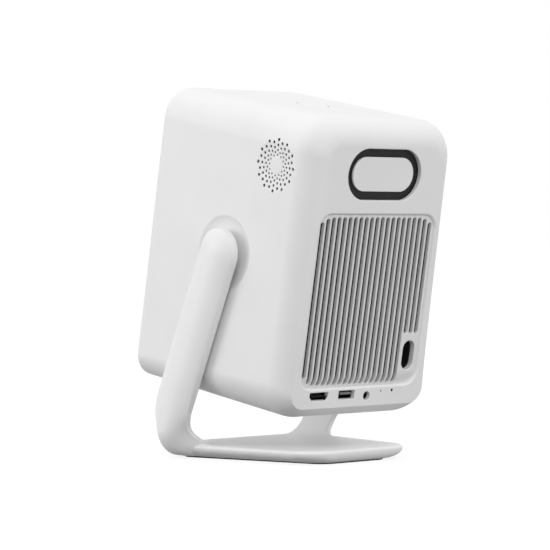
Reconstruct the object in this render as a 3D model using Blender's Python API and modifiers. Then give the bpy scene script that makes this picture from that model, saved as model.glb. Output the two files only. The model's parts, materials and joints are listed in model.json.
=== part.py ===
"""A portable projector: a tall rounded head that tilts between the arms of a yoke stand.

Frame: metres, +Z up, lens towards -Y, grille and sockets towards +Y.
The origin lies on the resting face, straight under the tilt axis.
Head pieces are placed in the head's own frame, whose origin is the middle of the casing.
"""
import bpy
import bmesh
from math import sin, cos, tan, pi, radians, sqrt, atan2
from mathutils import Vector, Matrix

# Clearance between neighbouring pieces, overrun of every cutter, wall of the casing
gap = 0.0003
overrun = 0.002
wall = 0.003

# Head casing
head_width = 0.1275
head_depth = 0.1463
head_height = 0.190
head_tilt = radians(10.1)
pivot_behind_middle = 0.003
pivot_below_middle = 0.001
front_top_corner = 0.020
front_bottom_corner = 0.0135
rear_top_corner = 0.0243
rear_bottom_corner = 0.0232
rear_rim_length = 0.0165
rear_rim_top_drop = 0.0165
rear_rim_bottom_rise = 0.0082
rear_rim_top_inset = 0.0150
rear_rim_bottom_inset = 0.0062
rear_face_corner = 0.0105
front_rim_length = 0.0070
front_rim_top_drop = 0.0035
front_rim_bottom_rise = 0.0080
front_rim_inset = 0.0075
front_face_corner = 0.0100
front_border = 0.0020

# Front panel, lens window and sensor window
front_panel_thickness = 0.0030
front_panel_inset = 0.0005
front_panel_rib = 0.0020
lens_below_top = 0.050
lens_window_radius = 0.0226
lens_window_thickness = 0.0018
window_ledge = 0.0022
sensor_below_lens = 0.041
sensor_half_length = 0.0085
sensor_half_height = 0.0038
sensor_window_thickness = 0.0012

# Rear grille
grille_side_margin = 0.01125
grille_below_top = 0.0577
grille_above_bottom = 0.0210
grille_corner = 0.0110
grille_depth = 0.0016
grille_thickness = 0.0035
grille_scoop_height = 0.0090
grille_scoop_depth = 0.0035
grille_ledge = 0.0015
slot_count = 21
slot_side_margin = 0.0053
slot_width = 0.0032
slot_top_margin = 0.0035
slot_bottom_margin = 0.0025
slot_corner_run = 0.0140
slot_corner_drop = 0.0045
slot_corner_rise = 0.0075
short_slot_count = 3
short_slot_rise = 0.00505

# Mains inlet, seen from behind beside the last slots
inlet_from_side = 0.02105
inlet_above_bottom = 0.0394
inlet_half_width = 0.00475
inlet_half_height = 0.00905
inlet_wall = 0.0014
inlet_floor_depth = 0.0150
inlet_body_length = 0.0190
inlet_pin_radius = 0.0012
inlet_pin_length = 0.0080
inlet_pin_spacing = 0.0086

# Badge field: a pill-shaped opening with a black tray and a white cover, left bare
badge_below_top = 0.0340
badge_half_length = 0.0319
badge_half_height = 0.0162
badge_cover_half_length = 0.0264
badge_cover_half_height = 0.0113
badge_cover_depth = 0.0017
badge_tray_thickness = 0.0015
badge_tray_lip = 0.0010

# Row of sockets
hdmi_x = 0.0339
hdmi_above_bottom = 0.0158
hdmi_width = 0.0158
hdmi_height = 0.0052
hdmi_foot_width = 0.0120
hdmi_shoulder = 0.0022
usb_x = 0.0099
usb_above_bottom = 0.0160
usb_width = 0.0139
usb_height = 0.0057
socket_wall = 0.00035
socket_depth = 0.0120
socket_floor = 0.0025
tongue_thickness = 0.0014
tongue_inset = 0.0022
tongue_length = 0.0085
jack_x = -0.0080
jack_above_bottom = 0.0146
jack_radius = 0.00285
jack_bore = 0.0018
jack_length = 0.0120
mic_x = -0.0204
mic_above_bottom = 0.0172
mic_hole_radius = 0.0005
reset_x = -0.0303
reset_above_bottom = 0.0174
reset_hole_radius = 0.0010
reset_travel = 0.0003
reset_plunger_radius = 0.0007
reset_plunger_length = 0.0022
reset_switch_size = 0.0045
reset_switch_depth = 0.0030
reset_behind_wall = 0.0010

# Speaker rosettes in both side walls
rosette_from_rear = 0.03275
rosette_below_top = 0.0341
rosette_dish_radius = 0.0172
rosette_dish_depth = 0.0010
rosette_cap_radius = 0.0054
rosette_cap_step = 0.0003
ring_count = 7
ring_holes = 12
first_ring_radius = 0.00647
ring_step = 0.00145
ring_step_growth = 0.0000225
odd_ring_shift = 0.00019
first_hole_radius = 0.00055
last_hole_radius = 0.00105
speaker_radius = 0.0115
speaker_magnet_radius = 0.0090
speaker_flange = 0.0020
speaker_depth = 0.0160

# Power button in the top wall
button_y = 0.0003
button_radius = 0.0107
button_flange = 0.0012
button_flange_thickness = 0.0010
button_travel = 0.0008
key_board_length = 0.040
key_board_width = 0.022
key_board_thickness = 0.0012
key_switch_size = 0.0060
key_switch_height = 0.0030
key_post_radius = 0.0030
key_post_spacing = 0.030

# Tilt pivots
dish_radius = 0.0244
dish_depth = 0.0022
boss_radius = 0.0150
boss_height = 0.0030
shaft_radius = 0.0037
shaft_bore = 0.0040
shaft_seat_depth = 0.0060
bush_radius = 0.0060
bush_flange_radius = 0.0085
bush_flange_thickness = 0.0015
washer_radius = 0.0080
washer_thickness = 0.0012
nut_width = 0.0120
nut_thickness = 0.0040
hub_radius = 0.0110

# Yoke stand
pivot_height = 0.132
arm_gap = 0.00135
arm_width = 0.0308
arm_lean = radians(24.0)
arm_edge_thickness = 0.0054
arm_crown = 0.0038
arm_crown_power = 0.8
arm_inner_round = 0.0010
arm_fillet = 0.0030
bend_top = 0.045
bend_end = 0.038
inner_bend_radius = 0.0225
outer_bend_radius = 0.0140
base_thickness = 0.0085
base_edge_height = 0.0047
base_front = -0.0613
base_rear = 0.0600
base_front_half_width = 0.0530
base_shoulder_half_width = 0.0606
base_shoulder_y = -0.040
base_rear_half_width = 0.0443
base_corner_radii = (0.010, 0.006, 0.0195)
base_top_round = 0.0040
base_front_blend = 0.010
base_front_reach = 0.0083
foot_front = -0.0530
foot_rear = 0.0543
foot_front_half_width = 0.0470
foot_shoulder_half_width = 0.0541
foot_rear_half_width = 0.0286
foot_corner_radii = (0.008, 0.006, 0.013)
buried_depth = 0.00004
pad_lift = 0.0005
pad_thickness = 0.0012
pad_inset = 0.0015

# Inner frame
frame_thickness = 0.0020
frame_screw_inset_x = 0.0133
frame_screw_inset_z = 0.0140
frame_post_radius = 0.0040
frame_post_length = 0.0120
screw_radius = 0.0012
screw_head_radius = 0.0025
screw_head_height = 0.0016
screw_length = 0.0080

# Light engine, lens and focus drive
engine_width = 0.080
engine_height = 0.118
engine_below_lens = 0.033
engine_leg_radius = 0.0040
engine_leg_inset = 0.0060
engine_leg_length = 0.03785
engine_round = 0.0030
barrel_radius = 0.0200
barrel_bore = 0.0165
barrel_length = 0.034
barrel_front_gap = 0.0045
holder_radius = 0.0235
holder_length = 0.012
barrel_socket_clearance = 0.0010
glass_radius = 0.0158
glass_edge = 0.0030
glass_bulge = 0.0035
glass_setback = 0.0020
ring_teeth = 48
pinion_teeth = 12
tooth_module = 0.0010
tooth_addendum_share = 0.80
tooth_dedendum_share = 1.10
tooth_tip_share = 0.11
tooth_root_share = 0.28
gear_width = 0.0050
ring_collar_gap = 0.0003
motor_length = 0.016
motor_shaft_radius = 0.0008
pinion_bore = 0.0011

# Autofocus camera on the frame
camera_width = 0.022
camera_height = 0.012
camera_lens_radius = 0.0022
camera_lens_length = 0.0010

# Heatsink and fan
sink_width = 0.076
sink_height = 0.076
sink_base = 0.0040
sink_depth = 0.0230
fin_count = 13
fin_thickness = 0.0016
fan_size = 0.070
fan_below_lens = 0.054
fan_rear_gap = 0.01755
fan_screw_inset = 0.0071
fan_depth = 0.015
fan_corner = 0.004
fan_bore_radius = 0.0325
fan_hub_radius = 0.0130
fan_blade_count = 7
fan_blade_tip = 0.0312
fan_blade_thickness = 0.0012
fan_blade_chord = 0.0120
fan_blade_pitch = radians(38.0)
fan_spider_width = 0.0040
fan_spider_depth = 0.0025
fan_screw_length = 0.0200

# Boards
board_thickness = 0.0016
board_left = -0.044
board_right = 0.046
board_front = -0.020
board_rear_gap = 0.0035
board_post_radius = 0.0030
board_post_inset = 0.0060
power_board_length = 0.055
power_board_height = 0.066
power_board_rise = 0.0345
power_board_side_gap = 0.0042
power_board_rear_gap = 0.0110
power_post_radius = 0.0030
power_post_inset = 0.0060

# Facet counts
corner_steps = 5
rim_steps = 5
round_steps = 28
small_steps = 8
slot_steps = 3
hole_sides = 5

object_name = "projector"


def clear_scene():
    for old in list(bpy.data.objects):
        bpy.data.objects.remove(old, do_unlink=True)


clear_scene()
part_collection = bpy.data.collections.new(object_name)
cutter_collection = bpy.data.collections.new("cutters")
bpy.context.scene.collection.children.link(part_collection)
bpy.context.scene.collection.children.link(cutter_collection)


# Materials
def make_material(name, colour, roughness, metallic=0.0):
    material = bpy.data.materials.new(name)
    material.use_nodes = True
    shader = material.node_tree.nodes["Principled BSDF"]
    shader.inputs["Base Color"].default_value = (*colour, 1.0)
    shader.inputs["Roughness"].default_value = roughness
    shader.inputs["Metallic"].default_value = metallic
    material.diffuse_color = (*colour, 1.0)
    return material


looks = {
    "white_casing": ((0.86, 0.86, 0.86), 0.50, 0.0),
    "white_stand": ((0.88, 0.88, 0.88), 0.42, 0.0),
    "white_grille": ((0.84, 0.84, 0.84), 0.50, 0.0),
    "white_badge": ((0.86, 0.86, 0.86), 0.45, 0.0),
    "white_button": ((0.88, 0.88, 0.88), 0.45, 0.0),
    "black_tray": ((0.012, 0.012, 0.013), 0.45, 0.0),
    "dark_panel": ((0.03, 0.03, 0.035), 0.30, 0.0),
    "dark_glass": ((0.01, 0.01, 0.015), 0.05, 0.0),
    "lens_glass": ((0.25, 0.20, 0.45), 0.02, 0.0),
    "black_plastic": ((0.02, 0.02, 0.02), 0.50, 0.0),
    "black_rubber": ((0.03, 0.03, 0.03), 0.85, 0.0),
    "steel": ((0.60, 0.60, 0.62), 0.30, 1.0),
    "spring_steel": ((0.45, 0.45, 0.48), 0.35, 1.0),
    "brass": ((0.75, 0.58, 0.28), 0.35, 1.0),
    "aluminium": ((0.75, 0.76, 0.78), 0.40, 1.0),
    "socket_metal": ((0.50, 0.50, 0.52), 0.35, 1.0),
    "green_board": ((0.02, 0.16, 0.07), 0.55, 0.0),
    "grey_plastic": ((0.25, 0.25, 0.26), 0.55, 0.0),
}


# The head's own frame: turned about the tilt axis, with its origin in the casing's middle
def make_empty(name, parent, location, rotation=(0.0, 0.0, 0.0)):
    empty = bpy.data.objects.new(name, None)
    part_collection.objects.link(empty)
    empty.parent = parent
    empty.location = location
    empty.rotation_euler = rotation
    return empty


tilt_axis = make_empty("tilt_axis", None, (0.0, 0.0, pivot_height), (-head_tilt, 0.0, 0.0))
head_frame = make_empty("head_frame", tilt_axis, (0.0, -pivot_behind_middle, pivot_below_middle))


# Helpers for outlines
def arc(centre, radius, start, end, steps):
    points = []
    for step in range(steps + 1):
        angle = start + (end - start) * step / steps
        points.append(Vector((centre[0] + radius * cos(angle), centre[1] + radius * sin(angle))))
    return points


def circle(centre, radius, steps, turn=0.0):
    return arc(centre, radius, turn, turn + 2 * pi, steps)[:-1]


def pill(centre, half_length, half_height, steps):
    reach = half_length - half_height
    right = arc((centre[0] + reach, centre[1]), half_height, -pi / 2, pi / 2, steps)
    left = arc((centre[0] - reach, centre[1]), half_height, pi / 2, 3 * pi / 2, steps)
    return right + left


def upright_pill(centre, half_width, half_height, steps):
    reach = half_height - half_width
    top = arc((centre[0], centre[1] + reach), half_width, 0.0, pi, steps)
    bottom = arc((centre[0], centre[1] - reach), half_width, pi, 2 * pi, steps)
    return top + bottom


def rounded_polygon(corners, radii, steps):
    """Counter-clockwise corners, each rounded by its own radius."""
    points = []
    count = len(corners)
    for index in range(count):
        corner = Vector(corners[index])
        before = (Vector(corners[index - 1]) - corner).normalized()
        after = (Vector(corners[(index + 1) % count]) - corner).normalized()
        radius = radii[index]
        if radius == 0.0:
            points.append(corner)
            continue
        half = before.angle(after) / 2
        centre = corner + (before + after).normalized() * (radius / sin(half))
        first = corner + before * (radius / tan(half))
        last = corner + after * (radius / tan(half))
        start = atan2(first.y - centre.y, first.x - centre.x)
        end = atan2(last.y - centre.y, last.x - centre.x)
        if end < start:
            end += 2 * pi
        if end - start > pi:
            end -= 2 * pi
        points += arc(centre, radius, start, end, steps)
    return points


def rounded_box_outline(low, high, radius, steps):
    corners = [(low[0], low[1]), (high[0], low[1]), (high[0], high[1]), (low[0], high[1])]
    return rounded_polygon(corners, [radius] * len(corners), steps)


# Helpers for solids
def link_mesh(name, mesh, parent, material, collection=None):
    piece = bpy.data.objects.new(name, mesh)
    (collection or part_collection).objects.link(piece)
    piece.parent = parent
    if material:
        mesh.materials.clear()
        mesh.materials.append(make_material(name, *looks[material]))
    return piece


def finish(piece, angle=radians(35.0)):
    piece.data.shade_smooth()
    piece.data.set_sharp_from_angle(angle=angle)
    return piece


def as_cutter(piece):
    part_collection.objects.unlink(piece)
    cutter_collection.objects.link(piece)
    piece.hide_render = True
    piece.display_type = "WIRE"
    return piece


def boolean(piece, other, operation):
    modifier = piece.modifiers.new(operation.lower(), "BOOLEAN")
    modifier.operation = operation
    modifier.solver = "EXACT"
    modifier.object = other
    return piece


def cut(piece, *cutters):
    for cutter in cutters:
        boolean(piece, cutter, "DIFFERENCE")
    return piece


def join(piece, *others):
    for other in others:
        boolean(piece, other, "UNION")
    return piece


def mesh_from(piece):
    """The evaluated form of an object, as a welded mesh."""
    bpy.context.view_layer.update()
    graph = bpy.context.evaluated_depsgraph_get()
    mesh = bpy.data.meshes.new_from_object(piece.evaluated_get(graph), depsgraph=graph)
    body = bmesh.new()
    body.from_mesh(mesh)
    bmesh.ops.remove_doubles(body, verts=body.verts, dist=gap / 100)
    bmesh.ops.recalc_face_normals(body, faces=body.faces)
    body.to_mesh(mesh)
    body.free()
    return mesh


def slab(name, outlines, thickness, parent, material, location=(0.0, 0.0, 0.0), rotation=(0.0, 0.0, 0.0)):
    """A flat outline, with any further outlines as holes, thick about its own plane."""
    curve = bpy.data.curves.new(name, "CURVE")
    curve.dimensions = "2D"
    curve.fill_mode = "BOTH"
    curve.extrude = thickness / 2
    for outline in outlines:
        spline = curve.splines.new("POLY")
        spline.points.add(len(outline) - 1)
        for point, place in zip(spline.points, outline):
            point.co = (place[0], place[1], 0.0, 1.0)
        spline.use_cyclic_u = True
    draft = bpy.data.objects.new(name + "_outline", curve)
    part_collection.objects.link(draft)
    mesh = mesh_from(draft)
    bpy.data.objects.remove(draft, do_unlink=True)
    piece = link_mesh(name, mesh, parent, material)
    piece.location = location
    piece.rotation_euler = rotation
    return finish(piece)


rear_facing = (pi / 2, 0.0, 0.0)
side_facing = (pi / 2, 0.0, pi / 2)


def turned(name, profile, steps, parent, material, location=(0.0, 0.0, 0.0), rotation=(0.0, 0.0, 0.0)):
    """A closed profile of (radius, height) turned about the local Z axis."""
    mesh = bpy.data.meshes.new(name)
    body = bmesh.new()
    corners = [body.verts.new((radius, 0.0, height)) for radius, height in profile]
    for first, second in zip(corners, corners[1:]):
        body.edges.new((first, second))
    if min(radius for radius, height in profile) > 0.0:
        body.edges.new((corners[-1], corners[0]))
    body.to_mesh(mesh)
    body.free()
    piece = link_mesh(name, mesh, parent, None)
    screw = piece.modifiers.new("turn", "SCREW")
    screw.axis = "Z"
    screw.steps = steps
    screw.render_steps = steps
    screw.use_merge_vertices = True
    screw.merge_threshold = gap / 100
    screw.use_smooth_shade = False
    solid = mesh_from(piece)
    bpy.data.objects.remove(piece, do_unlink=True)
    piece = link_mesh(name, solid, parent, material)
    piece.location = location
    piece.rotation_euler = rotation
    return finish(piece)


towards_rear = (-pi / 2, 0.0, 0.0)
towards_front = (pi / 2, 0.0, 0.0)
towards_right = (0.0, pi / 2, 0.0)
towards_left = (0.0, -pi / 2, 0.0)


def rod(name, radius, low, high, steps, parent, material, location=(0.0, 0.0, 0.0), rotation=(0.0, 0.0, 0.0)):
    """A round bar along the local Z axis, from low to high."""
    bpy.ops.mesh.primitive_cylinder_add(vertices=steps, radius=radius, depth=high - low)
    piece = bpy.context.object
    mesh = piece.data
    mesh.transform(Matrix.Translation((0.0, 0.0, (low + high) / 2)))
    mesh.name = name
    bpy.data.objects.remove(piece, do_unlink=True)
    piece = link_mesh(name, mesh, parent, material)
    piece.location = location
    piece.rotation_euler = rotation
    return finish(piece)


def block(name, low, high, parent, material, rounding=0.0):
    """A box between two corners, with its edges rounded where a rounding is given."""
    bpy.ops.mesh.primitive_cube_add(size=1.0)
    piece = bpy.context.object
    mesh = piece.data
    size = Vector(high) - Vector(low)
    middle = (Vector(high) + Vector(low)) / 2
    mesh.transform(Matrix.Translation(middle) @ Matrix.Diagonal((*size, 1.0)))
    mesh.name = name
    bpy.data.objects.remove(piece, do_unlink=True)
    piece = link_mesh(name, mesh, parent, material)
    if rounding > 0.0:
        bevel = piece.modifiers.new("rounding", "BEVEL")
        bevel.width = rounding
        bevel.segments = 2
        bevel.limit_method = "NONE"
    return finish(piece)


def loft(name, rings, parent, material, close_first=True, close_last=True):
    """Skin between rings of equal point counts, each ring counter-clockwise seen from the first end."""
    mesh = bpy.data.meshes.new(name)
    body = bmesh.new()
    rows = [[body.verts.new(point) for point in ring] for ring in rings]
    count = len(rings[0])
    for row, next_row in zip(rows, rows[1:]):
        for index in range(count):
            after = (index + 1) % count
            body.faces.new((row[index], row[after], next_row[after], next_row[index]))
    if close_first:
        body.faces.new(list(reversed(rows[0])))
    if close_last:
        body.faces.new(rows[-1])
    bmesh.ops.recalc_face_normals(body, faces=body.faces)
    body.to_mesh(mesh)
    body.free()
    return finish(link_mesh(name, mesh, parent, material))


# Head casing: rings along Y whose corner radii grow from the front to the rear
half_width = head_width / 2
half_depth = head_depth / 2
half_height = head_height / 2
lens_height = half_height - lens_below_top
sensor_height = lens_height - sensor_below_lens
grille_half_width = half_width - grille_side_margin
grille_top = half_height - grille_below_top
grille_bottom = -half_height + grille_above_bottom
slot_pitch = 2 * (grille_half_width - slot_side_margin) / (slot_count - 1)
inlet_x = -half_width + inlet_from_side
inlet_z = -half_height + inlet_above_bottom
short_slot_bottom = inlet_z + inlet_half_height + short_slot_rise
badge_z = half_height - badge_below_top
hdmi_z = -half_height + hdmi_above_bottom
usb_z = -half_height + usb_above_bottom
jack_z = -half_height + jack_above_bottom
mic_z = -half_height + mic_above_bottom
reset_z = -half_height + reset_above_bottom
rosette_y = half_depth - rosette_from_rear
rosette_z = half_height - rosette_below_top


def rim_fall(length, fall, distance):
    """How far a rim has come in, at a distance from its face. The face end carries the whole fall."""
    reach = max(length - distance, 0.0)
    radius = (length * length + fall * fall) / (2 * fall)
    return radius - sqrt(max(radius * radius - reach * reach, 0.0))


def casing_ring(y, offset, steps):
    """The casing's outline at one place along Y, drawn in by an offset for the cavity."""
    along = (y + half_depth) / head_depth
    from_rear = half_depth - offset - y
    from_front = y + half_depth
    top_corner = front_top_corner + (rear_top_corner - front_top_corner) * along
    bottom_corner = front_bottom_corner + (rear_bottom_corner - front_bottom_corner) * along
    top_fall = rim_fall(rear_rim_length, rear_rim_top_drop, from_rear)
    top_fall += rim_fall(front_rim_length, front_rim_top_drop, from_front)
    bottom_rise = rim_fall(rear_rim_length, rear_rim_bottom_rise, from_rear)
    bottom_rise += rim_fall(front_rim_length, front_rim_bottom_rise, from_front)
    top_inset = rim_fall(rear_rim_length, rear_rim_top_inset, from_rear)
    bottom_inset = rim_fall(rear_rim_length, rear_rim_bottom_inset, from_rear)
    front_inset = rim_fall(front_rim_length, front_rim_inset, from_front)
    top_share = (top_fall + top_inset + front_inset) / (rear_rim_top_drop + rear_rim_top_inset)
    bottom_share = (bottom_rise + bottom_inset + front_inset) / (rear_rim_bottom_rise + rear_rim_bottom_inset)
    top_corner += (rear_face_corner - top_corner) * min(top_share, 1.0)
    bottom_corner += (rear_face_corner - bottom_corner) * min(bottom_share, 1.0)
    top_corner = max(top_corner - offset, wall)
    bottom_corner = max(bottom_corner - offset, wall)
    top_x = half_width - top_inset - front_inset - offset
    bottom_x = half_width - bottom_inset - front_inset - offset
    top_z = half_height - top_fall - offset
    bottom_z = -half_height + bottom_rise + offset
    points = arc((bottom_x - bottom_corner, bottom_z + bottom_corner), bottom_corner, -pi / 2, 0.0, steps)
    points += arc((top_x - top_corner, top_z - top_corner), top_corner, 0.0, pi / 2, steps)
    points += arc((-top_x + top_corner, top_z - top_corner), top_corner, pi / 2, pi, steps)
    points += arc((-bottom_x + bottom_corner, bottom_z + bottom_corner), bottom_corner, pi, 3 * pi / 2, steps)
    return [Vector((point.x, y, point.y)) for point in points]


def rim_stations(length, steps):
    return [length * (1 - cos(pi / 2 * step / steps)) for step in range(steps + 1)]


rear_stations = [half_depth - d for d in rim_stations(rear_rim_length, rim_steps)]
front_stations = [-half_depth + d for d in rim_stations(front_rim_length, rim_steps - 2)]
casing_rings = [casing_ring(y, 0.0, corner_steps) for y in rear_stations + front_stations[::-1]]
main_shell = loft("main_shell", casing_rings, head_frame, "white_casing")

cavity_rear = half_depth - wall
cavity_stations = [cavity_rear - d for d in rim_stations(rear_rim_length, rim_steps - 2)]
cavity_front = -half_depth + front_rim_length
cavity_rings = [casing_ring(y, wall, corner_steps - 2) for y in cavity_stations + [cavity_front]]
cavity = as_cutter(loft("cavity", cavity_rings, head_frame, None))


def front_opening(inset, steps):
    """The outline of the front opening, just inside the rounded front rim."""
    top_x = half_width - front_rim_inset - front_border - inset
    top_z = half_height - front_rim_top_drop - front_border - inset
    bottom_z = -half_height + front_rim_bottom_rise + front_border + inset
    radius = front_face_corner - inset
    return rounded_box_outline((-top_x, bottom_z), (top_x, top_z), radius, steps)


front_hole = as_cutter(slab("front_hole", [front_opening(0.0, corner_steps)],
                            front_rim_length + 2 * overrun, head_frame, None,
                            (0.0, -half_depth + front_rim_length / 2, 0.0), rear_facing))
cut(main_shell, cavity, front_hole)


# Bosses and posts moulded inside the casing
def grown(solid):
    """A moulded boss: kept among the cutters, and joined to the casing."""
    join(main_shell, as_cutter(solid))


pivot_y = pivot_behind_middle
pivot_z = -pivot_below_middle
wall_inner_x = half_width - wall
boss_end_x = wall_inner_x - boss_height
side_names = {1: "left", -1: "right"}
side_turn = {1: towards_right, -1: towards_left}

for side, side_name in side_names.items():
    grown(rod("pivot_boss_" + side_name, boss_radius, boss_end_x, wall_inner_x + wall / 2,
              round_steps // 2, head_frame, None, (0.0, pivot_y, pivot_z), side_turn[side]))

# The frame sits behind the front panel, and screws into four posts
frame_front = cavity_front + gap
frame_back = frame_front + frame_thickness
post_x = half_width - wall - frame_screw_inset_x
post_z = half_height - wall - frame_screw_inset_z
post_places = [(sx * post_x, sz * post_z) for sx in (1, -1) for sz in (1, -1)]


def corner_web(name, x, z):
    """A post for a frame screw, with the web that ties it to the top or bottom wall."""
    low = frame_back + gap
    post = rod(name, frame_post_radius, low, low + frame_post_length, small_steps,
               head_frame, None, (x, 0.0, z), towards_rear)
    sign = 1 if z > 0 else -1
    edge = sign * (half_height - wall / 2)
    web = block(name + "_web", (x - frame_post_radius / 2, low + gap, min(z, edge)),
                (x + frame_post_radius / 2, low + frame_post_length - gap, max(z, edge)), head_frame, None)
    grown(post)
    grown(web)


for index, (x, z) in enumerate(post_places):
    corner_web("frame_post_%d" % (index + 1), x, z)

# Floor posts carry the main board, whose top face lies just under the sockets
socket_low = min(hdmi_z - hdmi_height / 2, usb_z - usb_height / 2, jack_z - jack_radius) + gap
board_top = socket_low - gap
board_bottom = board_top - board_thickness
floor_z = -half_height + wall
board_rear = half_depth - wall - board_rear_gap
board_post_places = [(board_left + board_post_inset, board_front + board_post_inset),
                     (board_right - board_post_inset, board_front + board_post_inset)]
for index, (x, y) in enumerate(board_post_places):
    grown(rod("board_post_%d" % (index + 1), board_post_radius, floor_z - wall / 2,
              board_bottom - gap, small_steps, head_frame, None, (x, y, 0.0)))

# Wall posts carry the power board beside the mains inlet
power_board_x = -wall_inner_x + power_board_side_gap
power_board_top = inlet_z + inlet_half_height + power_board_rise
power_board_bottom = power_board_top - power_board_height
power_board_rear = half_depth - wall - power_board_rear_gap
power_board_front = power_board_rear - power_board_length
for index, (y, z) in enumerate([(power_board_front + power_post_inset, power_board_top - power_post_inset),
                                (power_board_front + power_post_inset, power_board_bottom + power_post_inset)]):
    grown(rod("power_post_%d" % (index + 1), power_post_radius, -power_board_x + gap,
              wall_inner_x + wall / 2, small_steps, head_frame, None, (0.0, y, z), towards_left))

# Ceiling posts carry the key board under the power button
ceiling_z = half_height - wall
key_switch_top = ceiling_z - gap - button_flange_thickness - button_travel - gap
key_board_top = key_switch_top - key_switch_height - gap
for index, sx in enumerate((1, -1)):
    grown(rod("key_post_%d" % (index + 1), key_post_radius, key_board_top + gap,
              ceiling_z + wall / 2, small_steps, head_frame, None,
              (sx * key_post_spacing / 2, button_y, 0.0)))

# Pivot dish: a shallow hollow in each side wall, with the hole for the bush
dish_steps = 3
dish_flat = hub_radius + 2 * gap
dish_profile = [(0.0, dish_depth)]
for step in range(dish_steps + 1):
    across = step / dish_steps
    dish_profile.append((dish_flat + (dish_radius - dish_flat) * across, dish_depth * (1 - across ** 2)))


def dish_cutter(name, profile, place, side, steps):
    """A turned cutter whose hollow reaches in from the side wall."""
    outline = [(0.0, overrun), (profile[-1][0], overrun)]
    outline += [(radius, -depth) for radius, depth in reversed(profile)]
    return as_cutter(turned(name, outline, steps, head_frame, None,
                            (side * half_width, place[0], place[1]), side_turn[side]))


for side, side_name in side_names.items():
    bush_hole = rod("bush_hole_" + side_name, bush_radius + gap, boss_end_x - overrun, half_width + overrun,
                    round_steps // 2, head_frame, None, (0.0, pivot_y, pivot_z), side_turn[side])
    cut(main_shell, dish_cutter("pivot_dish_" + side_name, dish_profile, (pivot_y, pivot_z), side, round_steps),
        as_cutter(bush_hole))

# Speaker rosette: rings of holes in a shallow dish with a plain cap in its middle
cap_depth = rosette_dish_depth - rosette_cap_step
rosette_profile = [(0.0, cap_depth), (rosette_cap_radius, cap_depth), (rosette_cap_radius, rosette_dish_depth),
                   (rosette_dish_radius, 0.0)]
rosette_steps = 2 * ring_holes


def hole_table():
    """Each hole's place about the rosette's middle, and its radius."""
    table = []
    for ring in range(ring_count):
        odd = ring % 2
        radius = first_ring_radius + ring_step * ring + ring_step_growth * ring * ring + odd_ring_shift * odd
        hole = first_hole_radius + (last_hole_radius - first_hole_radius) * ring / (ring_count - 1)
        for index in range(ring_holes):
            angle = 2 * pi * (index + odd / 2) / ring_holes
            table.append((radius * cos(angle), radius * sin(angle), angle, hole))
    return table


def rosette_cutter(name, side):
    """All the holes of one rosette, as one cutter of separate prisms."""
    body = bmesh.new()
    length = wall + 2 * overrun
    for y, z, angle, hole in hole_table():
        place = Matrix.Translation((side * (half_width - wall / 2), rosette_y + y, rosette_z + z))
        place = place @ Matrix.Rotation(angle + pi / hole_sides, 4, "X") @ Matrix.Rotation(pi / 2, 4, "Y")
        bmesh.ops.create_cone(body, cap_ends=True, segments=hole_sides, radius1=hole, radius2=hole,
                              depth=length, matrix=place)
    mesh = bpy.data.meshes.new(name)
    body.to_mesh(mesh)
    body.free()
    return as_cutter(link_mesh(name, mesh, head_frame, None))


for side, side_name in side_names.items():
    outline = [(0.0, overrun), (rosette_dish_radius, overrun)]
    outline += [(radius, -depth) for radius, depth in reversed(rosette_profile)]
    dish = turned("rosette_dish_" + side_name, outline, rosette_steps, head_frame, None,
                  (side * half_width, rosette_y, rosette_z), side_turn[side])
    dish.data.transform(Matrix.Rotation(pi / rosette_steps, 4, "Z"))
    cut(main_shell, as_cutter(dish), rosette_cutter("rosette_holes_" + side_name, side))


# Openings in the rear wall
def rear_cutter(name, outline, depth):
    """A cutter through the rear wall, as deep as given."""
    middle = half_depth + overrun / 2 - depth / 2
    return as_cutter(slab(name, [outline], depth + overrun, head_frame, None, (0.0, middle, 0.0), rear_facing))


through_wall = wall + overrun
grille_outline = rounded_box_outline((-grille_half_width, grille_bottom), (grille_half_width, grille_top),
                                     grille_corner, corner_steps)
badge_outline = pill((0.0, badge_z), badge_half_length, badge_half_height, 2 * corner_steps)


def hdmi_outline(inset):
    half = hdmi_width / 2 - inset
    foot = hdmi_foot_width / 2 - inset
    top = hdmi_z + hdmi_height / 2 - inset
    bottom = hdmi_z - hdmi_height / 2 + inset
    shoulder = bottom + hdmi_shoulder
    return [Vector((hdmi_x + x, z)) for x, z in
            [(-foot, bottom), (foot, bottom), (half, shoulder), (half, top), (-half, top), (-half, shoulder)]]


def usb_outline(inset):
    low = (usb_x - usb_width / 2 + inset, usb_z - usb_height / 2 + inset)
    high = (usb_x + usb_width / 2 - inset, usb_z + usb_height / 2 - inset)
    return [Vector(corner) for corner in [low, (high[0], low[1]), high, (low[0], high[1])]]


cut(main_shell,
    rear_cutter("grille_opening", grille_outline, through_wall),
    rear_cutter("badge_opening", badge_outline, through_wall),
    rear_cutter("hdmi_opening", hdmi_outline(0.0), through_wall + wall),
    rear_cutter("usb_opening", usb_outline(0.0), through_wall + wall),
    rear_cutter("jack_opening", circle((jack_x, jack_z), jack_radius, small_steps), through_wall + wall),
    rear_cutter("mic_hole", circle((mic_x, mic_z), mic_hole_radius, hole_sides), through_wall + wall),
    rear_cutter("reset_hole", circle((reset_x, reset_z), reset_hole_radius, small_steps), through_wall + wall),
    as_cutter(rod("button_hole", button_radius + gap, ceiling_z - overrun, half_height + overrun,
                  round_steps, head_frame, None, (0.0, button_y, 0.0))))


# Rear grille: a slotted plate that curves in above the sockets and ends in a ledge
grille_face = half_depth - grille_depth
scoop_steps = 4


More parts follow.
